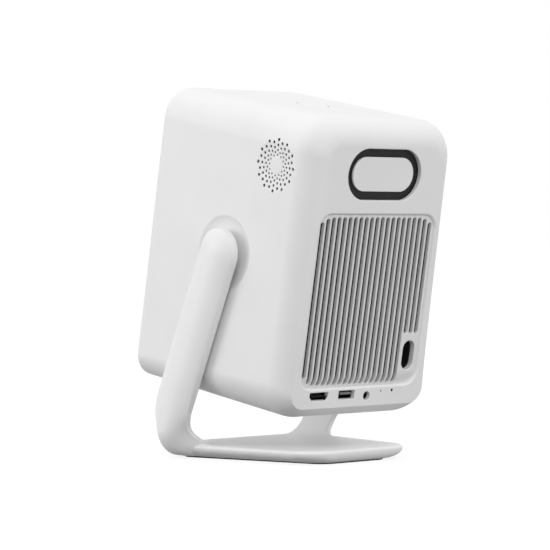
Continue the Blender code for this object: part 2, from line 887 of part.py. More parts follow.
def grille_profile():
    """Side view as (y, z): the outer face from the top down, then the inner face back up."""
    top = grille_top - gap
    low = grille_bottom + gap + grille_ledge
    bottom = grille_bottom + gap
    scoop_top = low + grille_scoop_height
    radius = (grille_scoop_height ** 2 + grille_scoop_depth ** 2) / (2 * grille_scoop_depth)
    outer = [(grille_face, top)]
    inner = [(grille_face - grille_thickness, top)]
    for step in range(scoop_steps + 1):
        z = scoop_top - grille_scoop_height * step / scoop_steps
        fall = radius - sqrt(radius * radius - (scoop_top - z) ** 2)
        outer.append((grille_face - fall, z))
        inner.append((grille_face - grille_thickness - fall, z))
    lip = [(grille_face, low), (grille_face, bottom), (inner[-1][0], bottom)]
    return outer + lip + inner[::-1]


grille_blank = [Vector((y, z)) for y, z in grille_profile()]
rear_grille = slab("rear_grille", [grille_blank], 2 * grille_half_width, head_frame, "white_grille",
                   (0.0, 0.0, 0.0), side_facing)
grille_trim = rounded_box_outline((-grille_half_width + gap, grille_bottom + gap),
                                  (grille_half_width - gap, grille_top - gap), grille_corner - gap, corner_steps)
trim_depth = 2 * (grille_thickness + grille_scoop_depth + grille_depth)
boolean(rear_grille, as_cutter(slab("grille_trim", [grille_trim], 2 * trim_depth, head_frame, None,
                                    (0.0, half_depth, 0.0), rear_facing)), "INTERSECT")


def slot_ends(x):
    """Bottom and top of one slot, drawn in at both sides along the panel's corners."""
    over = max(abs(x) - (grille_half_width - slot_pitch - slot_corner_run), 0.0) / slot_corner_run
    arch = 1 - sqrt(max(1 - over * over, 0.0))
    top = grille_top - slot_top_margin - slot_corner_drop * arch
    bottom = grille_bottom + slot_bottom_margin + slot_corner_rise * arch
    if x < (short_slot_count - (slot_count + 1) / 2 + 1 / 2) * slot_pitch:
        bottom = short_slot_bottom
    return bottom, top


def slot_cutter():
    outlines = []
    for index in range(slot_count):
        x = (index - (slot_count - 1) / 2) * slot_pitch
        bottom, top = slot_ends(x)
        outlines.append(upright_pill((x, (top + bottom) / 2), slot_width / 2, (top - bottom) / 2, slot_steps))
    return slab("grille_slots", outlines, 2 * trim_depth, head_frame, None, (0.0, half_depth, 0.0), rear_facing)


inlet_hole = slab("inlet_hole", [upright_pill((inlet_x, inlet_z), inlet_half_width, inlet_half_height, corner_steps)],
                  2 * trim_depth, head_frame, None, (0.0, half_depth, 0.0), rear_facing)
cut(rear_grille, as_cutter(slot_cutter()), as_cutter(inlet_hole))

# Mains inlet: a two-pin socket behind its own hole in the grille panel
inlet_mouth = grille_face - grille_thickness - gap
inlet_back = inlet_mouth - inlet_body_length
inlet_outer = upright_pill((inlet_x, inlet_z), inlet_half_width + inlet_wall, inlet_half_height + inlet_wall,
                           corner_steps)
inlet_inner = upright_pill((inlet_x, inlet_z), inlet_half_width, inlet_half_height, corner_steps)
mains_inlet = slab("mains_inlet", [inlet_outer], inlet_body_length, head_frame, "black_plastic",
                   (0.0, (inlet_mouth + inlet_back) / 2, 0.0), rear_facing)
inlet_floor = inlet_mouth - inlet_floor_depth
cut(mains_inlet, as_cutter(slab("inlet_socket", [inlet_inner], inlet_floor_depth + overrun, head_frame, None,
                                (0.0, (inlet_floor + inlet_mouth + overrun) / 2, 0.0), rear_facing)))
for index, sz in enumerate((1, -1)):
    join(mains_inlet, as_cutter(rod("inlet_pin_%d" % (index + 1), inlet_pin_radius, -overrun / 2, inlet_pin_length,
                                    small_steps, head_frame, None,
                                    (inlet_x, inlet_floor, inlet_z + sz * inlet_pin_spacing / 2), towards_rear)))

# Badge tray behind the pill-shaped opening, and the bare cover on it
tray_face = half_depth - wall - gap
slab("badge_tray",
     [pill((0.0, badge_z), badge_half_length + badge_tray_lip, badge_half_height + badge_tray_lip,
           2 * corner_steps)],
     badge_tray_thickness, head_frame, "black_tray",
     (0.0, tray_face - badge_tray_thickness / 2, 0.0), rear_facing)
tray_seat = slab("badge_seat",
                 [pill((0.0, badge_z), badge_half_length + badge_tray_lip + gap,
                       badge_half_height + badge_tray_lip + gap, 2 * corner_steps)],
                 rear_rim_length, head_frame, None, (0.0, half_depth - wall - rear_rim_length / 2, 0.0), rear_facing)
cut(main_shell, as_cutter(tray_seat))
cover_face = half_depth - badge_cover_depth
cover_back = tray_face + gap
slab("badge_cover",
     [pill((0.0, badge_z), badge_cover_half_length, badge_cover_half_height, 2 * corner_steps)],
     cover_face - cover_back, head_frame, "white_badge",
     (0.0, (cover_face + cover_back) / 2, 0.0), rear_facing)


# Sockets on the main board
def socket(name, outer, inner, tongue_low, tongue_high):
    """A sheet-metal socket shell with a floor and a tongue, open to the rear."""
    mouth = half_depth - gap
    back = mouth - socket_depth
    piece = slab(name, [outer], socket_depth, head_frame, "socket_metal", (0.0, (mouth + back) / 2, 0.0), rear_facing)
    hollow = slab(name + "_hollow", [inner], socket_depth - socket_floor + overrun, head_frame, None,
                  (0.0, (back + socket_floor + mouth + overrun) / 2, 0.0), rear_facing)
    floor = back + socket_floor
    tongue = block(name + "_tongue", (tongue_low[0], floor - socket_floor / 2, tongue_low[1]),
                   (tongue_high[0], floor + tongue_length, tongue_high[1]), head_frame, None)
    return join(cut(piece, as_cutter(hollow)), as_cutter(tongue))


socket("hdmi_socket", hdmi_outline(gap), hdmi_outline(gap + socket_wall),
       (hdmi_x - hdmi_foot_width / 2, hdmi_z - tongue_thickness / 2),
       (hdmi_x + hdmi_foot_width / 2, hdmi_z + tongue_thickness / 2))
usb_tongue_z = usb_z + usb_height / 2 - gap - socket_wall - tongue_inset
socket("usb_socket", usb_outline(gap), usb_outline(gap + socket_wall),
       (usb_x - usb_width / 2 + tongue_inset, usb_tongue_z),
       (usb_x + usb_width / 2 - tongue_inset, usb_tongue_z + tongue_thickness))
jack_floor = -jack_length + socket_floor
jack_profile = [(0.0, jack_floor), (jack_bore, jack_floor), (jack_bore, 0.0), (jack_radius - gap, 0.0),
                (jack_radius - gap, -jack_length), (0.0, -jack_length)]
jack_mouth = half_depth - gap
turned("audio_jack", jack_profile, round_steps // 2, head_frame, "black_plastic",
       (jack_x, jack_mouth, jack_z), towards_rear)

# Main board on its floor posts, under the sockets
block("main_board", (board_left, board_front, board_bottom), (board_right, board_rear, board_top),
      head_frame, "green_board")

# Reset switch and its plunger, behind the small hole
reset_face = half_depth - wall - reset_behind_wall
plunger_back = reset_face - reset_plunger_length
switch_rear = plunger_back - reset_travel - gap
block("reset_switch",
      (reset_x - reset_switch_size / 2, switch_rear - reset_switch_depth, board_top + gap),
      (reset_x + reset_switch_size / 2, switch_rear, reset_z + reset_switch_size / 2),
      head_frame, "black_plastic")
reset_axis = make_empty("reset_axis", head_frame, (reset_x, reset_face, reset_z))
rod("reset_button", reset_plunger_radius, -reset_plunger_length, 0.0, small_steps,
    reset_axis, "grey_plastic", (0.0, 0.0, 0.0), towards_rear)

# Power button with its retaining flange, key board and switch
button_axis = make_empty("button_axis", head_frame, (0.0, button_y, half_height))
flange_top = -wall - gap
flange_low = flange_top - button_flange_thickness
button_profile = [(0.0, 0.0), (button_radius, 0.0), (button_radius, flange_top),
                  (button_radius + button_flange, flange_top), (button_radius + button_flange, flange_low),
                  (0.0, flange_low)]
turned("power_button", button_profile, round_steps, button_axis, "white_button")
block("key_switch", (-key_switch_size / 2, button_y - key_switch_size / 2, key_board_top + gap),
      (key_switch_size / 2, button_y + key_switch_size / 2, key_switch_top),
      head_frame, "black_plastic")
block("key_board", (-key_board_length / 2, button_y - key_board_width / 2,
                    key_board_top - key_board_thickness),
      (key_board_length / 2, button_y + key_board_width / 2, key_board_top),
      head_frame, "green_board")

# Power board on its wall posts
block("power_board", (power_board_x, power_board_front, power_board_bottom),
      (power_board_x + board_thickness, power_board_rear, power_board_top),
      head_frame, "green_board")

# Speakers behind the rosettes
speaker_profile = [(0.0, 0.0), (speaker_radius, 0.0), (speaker_radius, -speaker_flange),
                   (speaker_magnet_radius, -speaker_depth / 2), (speaker_magnet_radius, -speaker_depth),
                   (0.0, -speaker_depth)]
for side, side_name in side_names.items():
    turned("speaker_" + side_name, speaker_profile, round_steps // 2, head_frame, "black_plastic",
           (side * (wall_inner_x - gap), rosette_y, rosette_z), side_turn[side])

# Inner frame: a plate across the front that passes through the front opening
lens_hole = circle((0.0, lens_height), holder_radius + frame_thickness, round_steps)
frame_screw_holes = [circle(place, screw_radius + gap, small_steps) for place in post_places]
slab("inner_frame", [front_opening(gap, corner_steps - 2), lens_hole] + frame_screw_holes,
     frame_thickness, head_frame, "aluminium",
     (0.0, (frame_front + frame_back) / 2, 0.0), rear_facing)


# Screws
def screw(name, location, rotation, length, parent=head_frame):
    """A screw whose head rests at the local origin, with its shank along -Z."""
    profile = [(0.0, screw_head_height), (screw_head_radius, screw_head_height), (screw_head_radius, 0.0),
               (screw_radius, 0.0), (screw_radius, -length), (0.0, -length)]
    return turned(name, profile, small_steps, parent, "steel", location, rotation)


for index, (x, z) in enumerate(post_places):
    pilot = rod("frame_pilot_%d" % (index + 1), screw_radius + gap, -frame_thickness - overrun,
                screw_length + overrun, small_steps, head_frame, None, (x, frame_back, z), towards_rear)
    cut(main_shell, as_cutter(pilot))
    screw("frame_screw_%d" % (index + 1), (x, frame_front - gap, z), towards_front, screw_length)

# Front panel with its rib behind, resting against the frame
panel_face = -half_depth + front_panel_inset
panel_back = panel_face + front_panel_thickness
front_panel = slab("front_panel", [front_opening(gap, corner_steps)], front_panel_thickness, head_frame,
                   "dark_panel", (0.0, (panel_face + panel_back) / 2, 0.0), rear_facing)
rib_back = frame_front - gap
rib_low = panel_back - front_panel_thickness / 2
rib = slab("front_rib", [front_opening(2 * gap, corner_steps - 2), front_opening(front_panel_rib, corner_steps - 2)],
           rib_back - rib_low, head_frame, None, (0.0, (rib_back + rib_low) / 2, 0.0), rear_facing)
join(front_panel, as_cutter(rib))


def window_seat(name, outline, ledge_outline, depth):
    """A stepped opening: a pocket as deep as the window, and a smaller way through behind it."""
    pocket = slab(name + "_pocket", [outline], depth + overrun, head_frame, None,
                  (0.0, panel_face + (depth - overrun) / 2, 0.0), rear_facing)
    passage = slab(name + "_passage", [ledge_outline], front_panel_thickness + 2 * overrun, head_frame, None,
                   (0.0, (panel_face + panel_back) / 2, 0.0), rear_facing)
    cut(front_panel, as_cutter(pocket), as_cutter(passage))


lens_pocket_depth = lens_window_thickness + gap
window_seat("lens", circle((0.0, lens_height), lens_window_radius + gap, round_steps),
            circle((0.0, lens_height), lens_window_radius - window_ledge, round_steps), lens_pocket_depth)
slab("lens_window", [circle((0.0, lens_height), lens_window_radius, round_steps)],
     lens_window_thickness, head_frame, "dark_glass",
     (0.0, panel_face + lens_window_thickness / 2, 0.0), rear_facing)
sensor_pocket_depth = sensor_window_thickness + gap
window_seat("sensor", pill((0.0, sensor_height), sensor_half_length + gap, sensor_half_height + gap, corner_steps),
            pill((0.0, sensor_height), sensor_half_length - window_ledge / 2, sensor_half_height - window_ledge / 2,
                 corner_steps), sensor_pocket_depth)
sensor_form = pill((0.0, sensor_height), sensor_half_length, sensor_half_height, corner_steps)
slab("sensor_window", [sensor_form], sensor_window_thickness, head_frame, "dark_glass",
     (0.0, panel_face + sensor_window_thickness / 2, 0.0), rear_facing)

# Autofocus camera: a small module on the frame, looking through the sensor window
camera_back = frame_front - gap
camera_front = panel_back + gap + camera_lens_length
autofocus_camera = block("autofocus_camera",
                         (-camera_width / 2, camera_front, sensor_height - camera_height / 2),
                         (camera_width / 2, camera_back, sensor_height + camera_height / 2),
                         head_frame, "black_plastic")
join(autofocus_camera, as_cutter(rod("camera_eye", camera_lens_radius, -camera_lens_length / 2, camera_lens_length,
                                     small_steps, head_frame, None, (0.0, camera_front, sensor_height),
                                     towards_front)))

# Light engine: a casting on four legs from the frame, with the bore that holds the lens
fan_back = half_depth - wall - fan_rear_gap
fan_front = fan_back - fan_depth
sink_back = fan_front - gap
sink_front = sink_back - sink_depth
engine_front = frame_back + engine_leg_length
engine_back = sink_front - gap
engine_low = lens_height - engine_below_lens - engine_height / 2
engine_high = lens_height - engine_below_lens + engine_height / 2
light_engine = block("light_engine", (-engine_width / 2, engine_front, engine_low),
                     (engine_width / 2, engine_back, engine_high), head_frame, "grey_plastic", engine_round)
leg_tip = frame_back + gap
for sx in (1, -1):
    for sz, edge in ((1, engine_high), (-1, engine_low)):
        place = (sx * (engine_width / 2 - engine_leg_inset), engine_front, edge - sz * engine_leg_inset)
        join(light_engine, as_cutter(rod("engine_leg", engine_leg_radius, -engine_round, engine_front - leg_tip,
                                         small_steps, head_frame, None, place, towards_front)))
holder_front = engine_front - holder_length
join(light_engine, as_cutter(rod("lens_holder", holder_radius, -engine_round, holder_length, round_steps,
                                 head_frame, None, (0.0, engine_front, lens_height), towards_front)))
barrel_front = panel_back + barrel_front_gap
barrel_socket_depth = barrel_front + barrel_length + barrel_socket_clearance - holder_front
cut(light_engine, as_cutter(rod("lens_socket", barrel_radius + gap, -barrel_socket_depth, overrun, round_steps,
                                head_frame, None, (0.0, holder_front, lens_height), towards_front)))

# Lens barrel and its front glass, which slide together when the focus ring turns
lens_axis = make_empty("lens_axis", head_frame, (0.0, barrel_front, lens_height))
barrel_floor = -barrel_length + glass_edge
barrel_profile = [(0.0, barrel_floor), (barrel_bore, barrel_floor), (barrel_bore, 0.0), (barrel_radius, 0.0),
                  (barrel_radius, -barrel_length), (0.0, -barrel_length)]
turned("lens_barrel", barrel_profile, round_steps, lens_axis, "black_plastic",
       (0.0, 0.0, 0.0), towards_front)
glass_steps = 3
glass_sphere = (glass_radius ** 2 + glass_bulge ** 2) / (2 * glass_bulge)
glass_dome = []
for step in range(glass_steps + 1):
    radius = glass_radius * step / glass_steps
    glass_dome.append((radius, sqrt(glass_sphere ** 2 - radius ** 2) - (glass_sphere - glass_bulge)))
glass_low = -glass_setback - glass_bulge
glass_profile = [(radius, glass_low + height) for radius, height in glass_dome]
glass_profile += [(glass_radius, glass_low - glass_edge), (0.0, glass_low - glass_edge)]
turned("front_lens", glass_profile, round_steps, lens_axis, "lens_glass", (0.0, 0.0, 0.0), towards_front)

# Focus drive: a toothed ring round the barrel, turned by a pinion on a small motor
ring_pitch_radius = ring_teeth * tooth_module / 2
pinion_pitch_radius = pinion_teeth * tooth_module / 2
ring_front = holder_front - gap - gear_width
pinion_distance = ring_pitch_radius + pinion_pitch_radius


def gear_outline(teeth, turn):
    """A toothed outline with straight flanks. A tooth points along the given angle."""
    pitch_radius = teeth * tooth_module / 2
    tip = pitch_radius + tooth_module * tooth_addendum_share
    root = pitch_radius - tooth_module * tooth_dedendum_share
    tooth_angle = 2 * pi / teeth
    points = []
    for index in range(teeth):
        middle = turn + index * tooth_angle
        for radius, share in ((root, -tooth_root_share), (tip, -tooth_tip_share),
                              (tip, tooth_tip_share), (root, tooth_root_share)):
            angle = middle + share * tooth_angle
            points.append(Vector((radius * cos(angle), radius * sin(angle))))
    return points


focus_axis = make_empty("focus_axis", head_frame, (0.0, ring_front + gear_width / 2, lens_height))
slab("focus_ring", [gear_outline(ring_teeth, 0.0),
                    circle((0.0, 0.0), barrel_radius + ring_collar_gap, round_steps)],
     gear_width, focus_axis, "black_plastic", (0.0, 0.0, 0.0), rear_facing)
pinion_axis = make_empty("pinion_axis", head_frame,
                         (pinion_distance, ring_front + gear_width / 2, lens_height))
slab("focus_pinion", [gear_outline(pinion_teeth, pi + pi / pinion_teeth),
                      circle((0.0, 0.0), pinion_bore, hole_sides)],
     gear_width, pinion_axis, "brass", (0.0, 0.0, 0.0), rear_facing)
motor_radius = pinion_distance - holder_radius - gap
motor_front = ring_front + gear_width + gap
motor_back = min(engine_front - gap, motor_front + motor_length)
focus_motor = rod("focus_motor", motor_radius, motor_front, motor_back, round_steps // 2, head_frame, "steel",
                  (pinion_distance, 0.0, lens_height), towards_rear)
join(focus_motor, as_cutter(rod("motor_shaft", motor_shaft_radius, ring_front, motor_front + gap, small_steps,
                                head_frame, None, (pinion_distance, 0.0, lens_height), towards_rear)))

# Heatsink behind the light engine, with upright fins
fin_root = sink_front + sink_base
fin_pitch = (sink_width - fin_thickness) / (fin_count - 1)


def sink_outline():
    """Plan view of base and fins: one comb outline."""
    points = [Vector((-sink_width / 2, sink_front)), Vector((sink_width / 2, sink_front))]
    for index in range(fin_count):
        right = sink_width / 2 - index * fin_pitch
        if index > 0:
            points.append(Vector((right, fin_root)))
        points.append(Vector((right, sink_back)))
        points.append(Vector((right - fin_thickness, sink_back)))
        if index < fin_count - 1:
            points.append(Vector((right - fin_thickness, fin_root)))
    return points


fan_middle_z = lens_height - fan_below_lens
heatsink = slab("heatsink", [sink_outline()], sink_height, head_frame, "aluminium", (0.0, 0.0, fan_middle_z))

# Fan: a square frame with a spider that carries the rotor
fan_outline = rounded_box_outline((-fan_size / 2, fan_middle_z - fan_size / 2),
                                  (fan_size / 2, fan_middle_z + fan_size / 2), fan_corner, 2)
fan_hole = circle((0.0, fan_middle_z), fan_bore_radius, round_steps)
hole_reach = fan_size / 2 - fan_screw_inset
fan_screw_places = [(sx * hole_reach, fan_middle_z + sz * hole_reach) for sx in (1, -1) for sz in (1, -1)]
fan_screw_holes = [circle(place, screw_radius + gap, small_steps) for place in fan_screw_places]
fan_frame = slab("fan_frame", [fan_outline, fan_hole] + fan_screw_holes, fan_depth, head_frame, "black_plastic",
                 (0.0, (fan_front + fan_back) / 2, 0.0), rear_facing)
spider_front = fan_back - fan_spider_depth
for index, angle in enumerate((pi / 4, -pi / 4)):
    arm_reach = fan_bore_radius + gap
    bar = rounded_polygon([(-arm_reach, -fan_spider_width / 2), (arm_reach, -fan_spider_width / 2),
                           (arm_reach, fan_spider_width / 2), (-arm_reach, fan_spider_width / 2)],
                          [0.0] * 4, 1)
    spider = slab("fan_spider_%d" % (index + 1), [bar], fan_spider_depth - gap, head_frame, None,
                  (0.0, (spider_front + fan_back) / 2, fan_middle_z), rear_facing)
    spider.rotation_euler = (pi / 2, angle, 0.0)
    join(fan_frame, as_cutter(spider))
join(fan_frame, as_cutter(rod("fan_seat", fan_hub_radius, spider_front, fan_back - gap / 2, round_steps // 2,
                              head_frame, None, (0.0, 0.0, fan_middle_z), towards_rear)))
for index, (x, z) in enumerate(fan_screw_places):
    cut(heatsink, as_cutter(rod("fan_pilot_%d" % (index + 1), screw_radius + gap, -fan_screw_length - overrun,
                                overrun, small_steps, head_frame, None, (x, fan_back, z), towards_rear)))
    screw("fan_screw_%d" % (index + 1), (x, fan_back + gap, z), towards_rear, fan_screw_length)

rotor_back = spider_front - gap
rotor_front = fan_front + gap
fan_axis = make_empty("fan_axis", head_frame, (0.0, (rotor_front + rotor_back) / 2, fan_middle_z))
rotor_length = rotor_back - rotor_front
fan_rotor = rod("fan_rotor", fan_hub_radius, -rotor_length / 2, rotor_length / 2, round_steps // 2,
                fan_axis, "black_plastic", (0.0, 0.0, 0.0), towards_rear)
for index in range(fan_blade_count):
    turn = 2 * pi * index / fan_blade_count
    blade = block("fan_blade", (fan_hub_radius / 2, -fan_blade_chord / 2, -fan_blade_thickness / 2),
                  (fan_blade_tip, fan_blade_chord / 2, fan_blade_thickness / 2), fan_axis, None)
    blade.data.transform(Matrix.Rotation(turn, 4, "Y") @ Matrix.Rotation(fan_blade_pitch, 4, "X"))
    join(fan_rotor, as_cutter(blade))

# Pivot hardware: shafts fixed in the arms, bushes in the casing, washers and nuts on the shafts
arm_inner_x = half_width + arm_gap
dish_floor_x = half_width - dish_depth
hub_tip_x = dish_floor_x + gap
bush_outer_x = dish_floor_x - gap
bush_flange_x = boss_end_x - gap
washer_x = bush_flange_x - bush_flange_thickness - gap
nut_x = washer_x - washer_thickness - gap
shaft_end_x = nut_x - nut_thickness - gap
shaft_tip_x = arm_inner_x + shaft_seat_depth
for side, side_name in side_names.items():
    axis_place = (0.0, 0.0, 0.0)
    turn = side_turn[side]
    rod("pivot_shaft_" + side_name, shaft_radius, shaft_end_x, shaft_tip_x - gap, round_steps // 2, tilt_axis,
        "steel", axis_place, turn)
    bush_profile = [(shaft_bore, bush_outer_x), (bush_radius, bush_outer_x), (bush_radius, bush_flange_x),
                    (bush_flange_radius, bush_flange_x), (bush_flange_radius, bush_flange_x - bush_flange_thickness),
                    (shaft_bore, bush_flange_x - bush_flange_thickness)]
    turned("pivot_bush_" + side_name, bush_profile, round_steps // 2, tilt_axis, "brass", axis_place, turn)
    washer_profile = [(shaft_bore, washer_x), (washer_radius, washer_x), (washer_radius, washer_x - washer_thickness),
                      (shaft_bore, washer_x - washer_thickness)]
    turned("friction_washer_" + side_name, washer_profile, round_steps // 2, tilt_axis, "spring_steel",
           axis_place, turn)
    hexagon = circle((0.0, 0.0), nut_width / 2 / cos(pi / 6), 6)
    slab("pivot_nut_" + side_name, [hexagon, circle((0.0, 0.0), shaft_bore, round_steps // 2)], nut_thickness,
         tilt_axis, "steel", (side * (nut_x - nut_thickness / 2), 0.0, 0.0), towards_right)


# Yoke stand: a tapered base plate whose rim curves under, and two arms that bend into it
arm_half = arm_width / 2
arm_down = Vector((-sin(arm_lean), -cos(arm_lean)))
arm_across = Vector((cos(arm_lean), -sin(arm_lean)))
pivot_point = Vector((0.0, pivot_height))
base_low = pad_lift
base_high = base_low + base_thickness
base_edge_z = base_low + base_edge_height
crown_steps = 3
cap_steps = 4
arm_steps = 2
bend_steps = 9
rim_rings = 3
rear_face_steps = 3
corner_points = 4
crown_share = 0.97
rounding_limit = 0.97


def drawn_in(corners, distance):
    """A counter-clockwise polygon with each edge moved inwards."""
    shifted = []
    for index, corner in enumerate(corners):
        before = (Vector(corner) - Vector(corners[index - 1])).normalized()
        after = (Vector(corners[(index + 1) % len(corners)]) - Vector(corner)).normalized()
        inwards = Vector((-before.y - after.y, before.x + after.x)) / (1 + before.dot(after))
        shifted.append(Vector(corner) + inwards * distance)
    return shifted


def plan_outline(half_corners, radii, inset):
    """A plan outline that is alike on both sides of the middle, drawn in by the inset."""
    corners = list(half_corners) + [(-x, y) for x, y in reversed(half_corners)]
    rounding = [max(radius - inset, radius / 4) for radius in radii + radii[::-1]]
    return rounded_polygon(drawn_in(corners, inset), rounding, corner_points)


def base_outline(inset):
    return plan_outline([(base_front_half_width, base_front), (base_shoulder_half_width, base_shoulder_y),
                         (base_rear_half_width, base_rear)], base_corner_radii, inset)


def foot_outline(inset):
    return plan_outline([(foot_front_half_width, foot_front), (foot_shoulder_half_width, base_shoulder_y),
                         (foot_rear_half_width, foot_rear)], foot_corner_radii, inset)


def base_rings():
    """The plate from its foot, out round the rim and in over the top edge."""
    rings = []
    for step in range(rim_rings + 1):
        angle = pi / 2 * step / rim_rings
        height = base_low + base_edge_height * (1 - cos(angle))
        rings.append([foot.lerp(rim, sin(angle)).to_3d() + Vector((0.0, 0.0, height))
                      for foot, rim in zip(foot_outline(0.0), base_outline(0.0))])
    for step in range(1, rim_rings + 1):
        angle = pi / 2 * step / rim_rings
        height = base_edge_z + (base_high - base_edge_z) * sin(angle)
        rings.append([place.to_3d() + Vector((0.0, 0.0, height))
                      for place in base_outline(base_top_round * (1 - cos(angle)))])
    return rings


def bend_point(x_arm, radius, z_plate, share):
    """A place (x, z) down the arm, round the bend and in along the base, with its outward direction."""
    drop = bend_top - z_plate - radius
    quarter = pi / 2 * radius
    run = x_arm - radius - bend_end
    distance = share * (drop + quarter + run)
    angle = min(max((distance - drop) / radius, 0.0), pi / 2)
    x = x_arm - radius + radius * cos(angle) - max(distance - drop - quarter, 0.0)
    z = z_plate + radius - radius * sin(angle) + max(drop - distance, 0.0)
    return x, z, Vector((cos(angle), 0.0, -sin(angle)))


def blend(share):
    share = min(max(share, 0.0), 1.0)
    return share * share * (3 - 2 * share)


def front_edge_y(z):
    """The arm's leaning front edge, blended into the base's straight one."""
    front = base_front + buried_depth
    meet = pivot_height + (front + arm_half / cos(arm_lean)) / tan(arm_lean)
    if z >= meet + base_front_blend:
        return -(pivot_height - z) * tan(arm_lean) - arm_half / cos(arm_lean)
    if z <= meet - base_front_blend:
        return front
    return front + tan(arm_lean) * (z - meet + base_front_blend) ** 2 / (4 * base_front_blend)


def rear_edge_y(z):
    """The arm's leaning rear edge, with the fillet where it meets the top of the base."""
    fall = min(max((base_high + arm_fillet - z) / arm_fillet, 0.0), 1.0)
    leaning = -(pivot_height - max(z, base_high)) * tan(arm_lean) + arm_half / cos(arm_lean)
    return leaning + arm_fillet * (1 - sqrt(1 - fall * fall))


def edge_side(inner, outer, inwards, width, height):
    """From the inner face round its edge and down the edge face, to just short of the outer corner."""
    through = outer - inner
    height = min(height, through.length * rounding_limit)
    through = through.normalized()
    side = []
    for step in range(rim_rings + 1):
        angle = pi / 2 * step / rim_rings
        side.append(inner + inwards * width * (1 - sin(angle)) + through * height * (1 - cos(angle)))
    return side


def arm_section(inner, outer, outwards, rounding, crown, reach, rear_y=None):
    """A closed ring of the arm. The inner and outer pairs are its front and rear corners."""
    inwards = (inner[1] - inner[0]).normalized()
    front_side = edge_side(inner[0], outer[0], inwards, *rounding)
    rear_side = edge_side(inner[1], outer[1], -inwards, *rounding)
    rear_face = [rear_side[-1].lerp(outer[1], (step + 1) / rear_face_steps) for step in range(rear_face_steps - 1)]
    if rear_y:
        for place in rear_face:
            place.y = rear_y(place.z)
    width = (outer[1] - outer[0]).length
    shares = [reach / width * (1 - cos(pi / 2 * step / crown_steps)) for step in range(crown_steps + 1)]
    shares += [1 - share for share in reversed(shares)]
    outer_face = [outer[0].lerp(outer[1], share) + outwards * crown(share * width, width) for share in shares]
    return front_side + outer_face + rear_face[::-1] + rear_side[::-1]


def crown_profile(height, reach, power):
    def rise(distance, width):
        share = min(distance, width - distance) / reach
        return height * (1 - max(1 - share, 0.0) ** 2) ** power
    return rise


def arm_rings():
    """Sections from the round end of the arm at the pivot down to its foot inside the base."""
    rings = []
    rounding = (arm_inner_round, arm_inner_round)
    outer_x = arm_inner_x + arm_edge_thickness
    sideways = Vector((1.0, 0.0, 0.0))
    for step in range(cap_steps):
        angle = pi / 2 * (step + 1 / 2) / (cap_steps + 1 / 2)
        back = arm_half * cos(angle)
        half = arm_half * sin(angle)
        ends = [pivot_point - arm_down * back - arm_across * half, pivot_point - arm_down * back + arm_across * half]

        def dome(distance, width, back=back):
            off = distance - width / 2
            share = min((back * back + off * off) / arm_half ** 2, 1.0)
            return arm_crown * (1 - share) ** arm_crown_power

        small = min(arm_inner_round, half / 2)
        rings.append(arm_section([Vector((arm_inner_x, *end)) for end in ends],
                                 [Vector((outer_x, *end)) for end in ends], sideways, (small, small), dome,
                                 half * crown_share))
    front_start = pivot_point - arm_across * arm_half
    rear_start = pivot_point + arm_across * arm_half
    crown = crown_profile(arm_crown, arm_half * crown_share, arm_crown_power)
    for step in range(arm_steps):
        share = step / arm_steps
        ends = [start + arm_down * ((start.y - bend_top) * share / cos(arm_lean))
                for start in (front_start, rear_start)]
        ends[0].x = max(ends[0].x, front_edge_y(ends[0].y))
        rings.append(arm_section([Vector((arm_inner_x, *end)) for end in ends],
                                 [Vector((outer_x, *end)) for end in ends], sideways, rounding, crown,
                                 arm_half * crown_share))
    for step in range(bend_steps + 1):
        share = step / bend_steps
        inner_x, inner_z = bend_point(arm_inner_x, inner_bend_radius, base_high - buried_depth, share)[:2]
        edge_x, edge_z, outwards = bend_point(outer_x, outer_bend_radius, base_edge_z, share)
        inner = [Vector((inner_x, front_edge_y(inner_z), inner_z)), Vector((inner_x, rear_edge_y(inner_z), inner_z))]
        outer = [Vector((edge_x, front_edge_y(edge_z), edge_z)), Vector((edge_x, rear_edge_y(edge_z), edge_z))]
        change = blend(share)
        width = (outer[1] - outer[0]).length
        reach = width / 2 * crown_share * (1 - change) + base_front_reach * change
        crown = crown_profile(arm_crown + (base_edge_height - buried_depth - arm_crown) * change, reach,
                              arm_crown_power + (1 / 2 - arm_crown_power) * change)
        rounding = (arm_inner_round + (base_top_round - arm_inner_round) * change,
                    arm_inner_round + (base_high - base_edge_z - arm_inner_round) * change)
        rings.append(arm_section(inner, outer, outwards, rounding, crown, reach, rear_edge_y))
    return rings


stand_yoke = loft("stand_yoke", base_rings(), None, "white_stand")
arms = loft("arms", arm_rings(), None, None)
mirror = arms.modifiers.new("other_arm", "MIRROR")
mirror.use_axis = (True, False, False)
join(stand_yoke, as_cutter(arms))
for side, side_name in side_names.items():
    hub = rod("hub_" + side_name, hub_radius, hub_tip_x, arm_inner_x + arm_edge_thickness / 2, round_steps // 2,
              None, None, (0.0, 0.0, pivot_height), side_turn[side])
    join(stand_yoke, as_cutter(hub))
for side, side_name in side_names.items():
    bore = rod("shaft_seat_" + side_name, shaft_radius + gap, hub_tip_x - overrun, shaft_tip_x, round_steps // 2,
               None, None, (0.0, 0.0, pivot_height), side_turn[side])
    cut(stand_yoke, as_cutter(bore))

# Rubber pad let into the underside of the base
recess_top = pad_thickness + gap
cut(stand_yoke, as_cutter(slab("pad_recess", [foot_outline(pad_inset - gap)], recess_top + overrun, None, None,
                               (0.0, 0.0, (recess_top - overrun) / 2))))
slab("base_pad", [foot_outline(pad_inset)], pad_thickness, None, "black_rubber",
     (0.0, 0.0, pad_thickness / 2))
bpy.context.view_layer.update()
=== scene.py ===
"""Looks of the portable projector: its finishes, its fine forms, the light and the camera.

Everything is in metres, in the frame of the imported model. Pieces of the head are shaped in the
head's own frame, whose origin is the middle of the casing, and are then set at its rest tilt.
"""
import bpy
import bmesh
import json
from math import sin, cos, tan, pi, radians, sqrt, atan2
from mathutils import Vector, Matrix


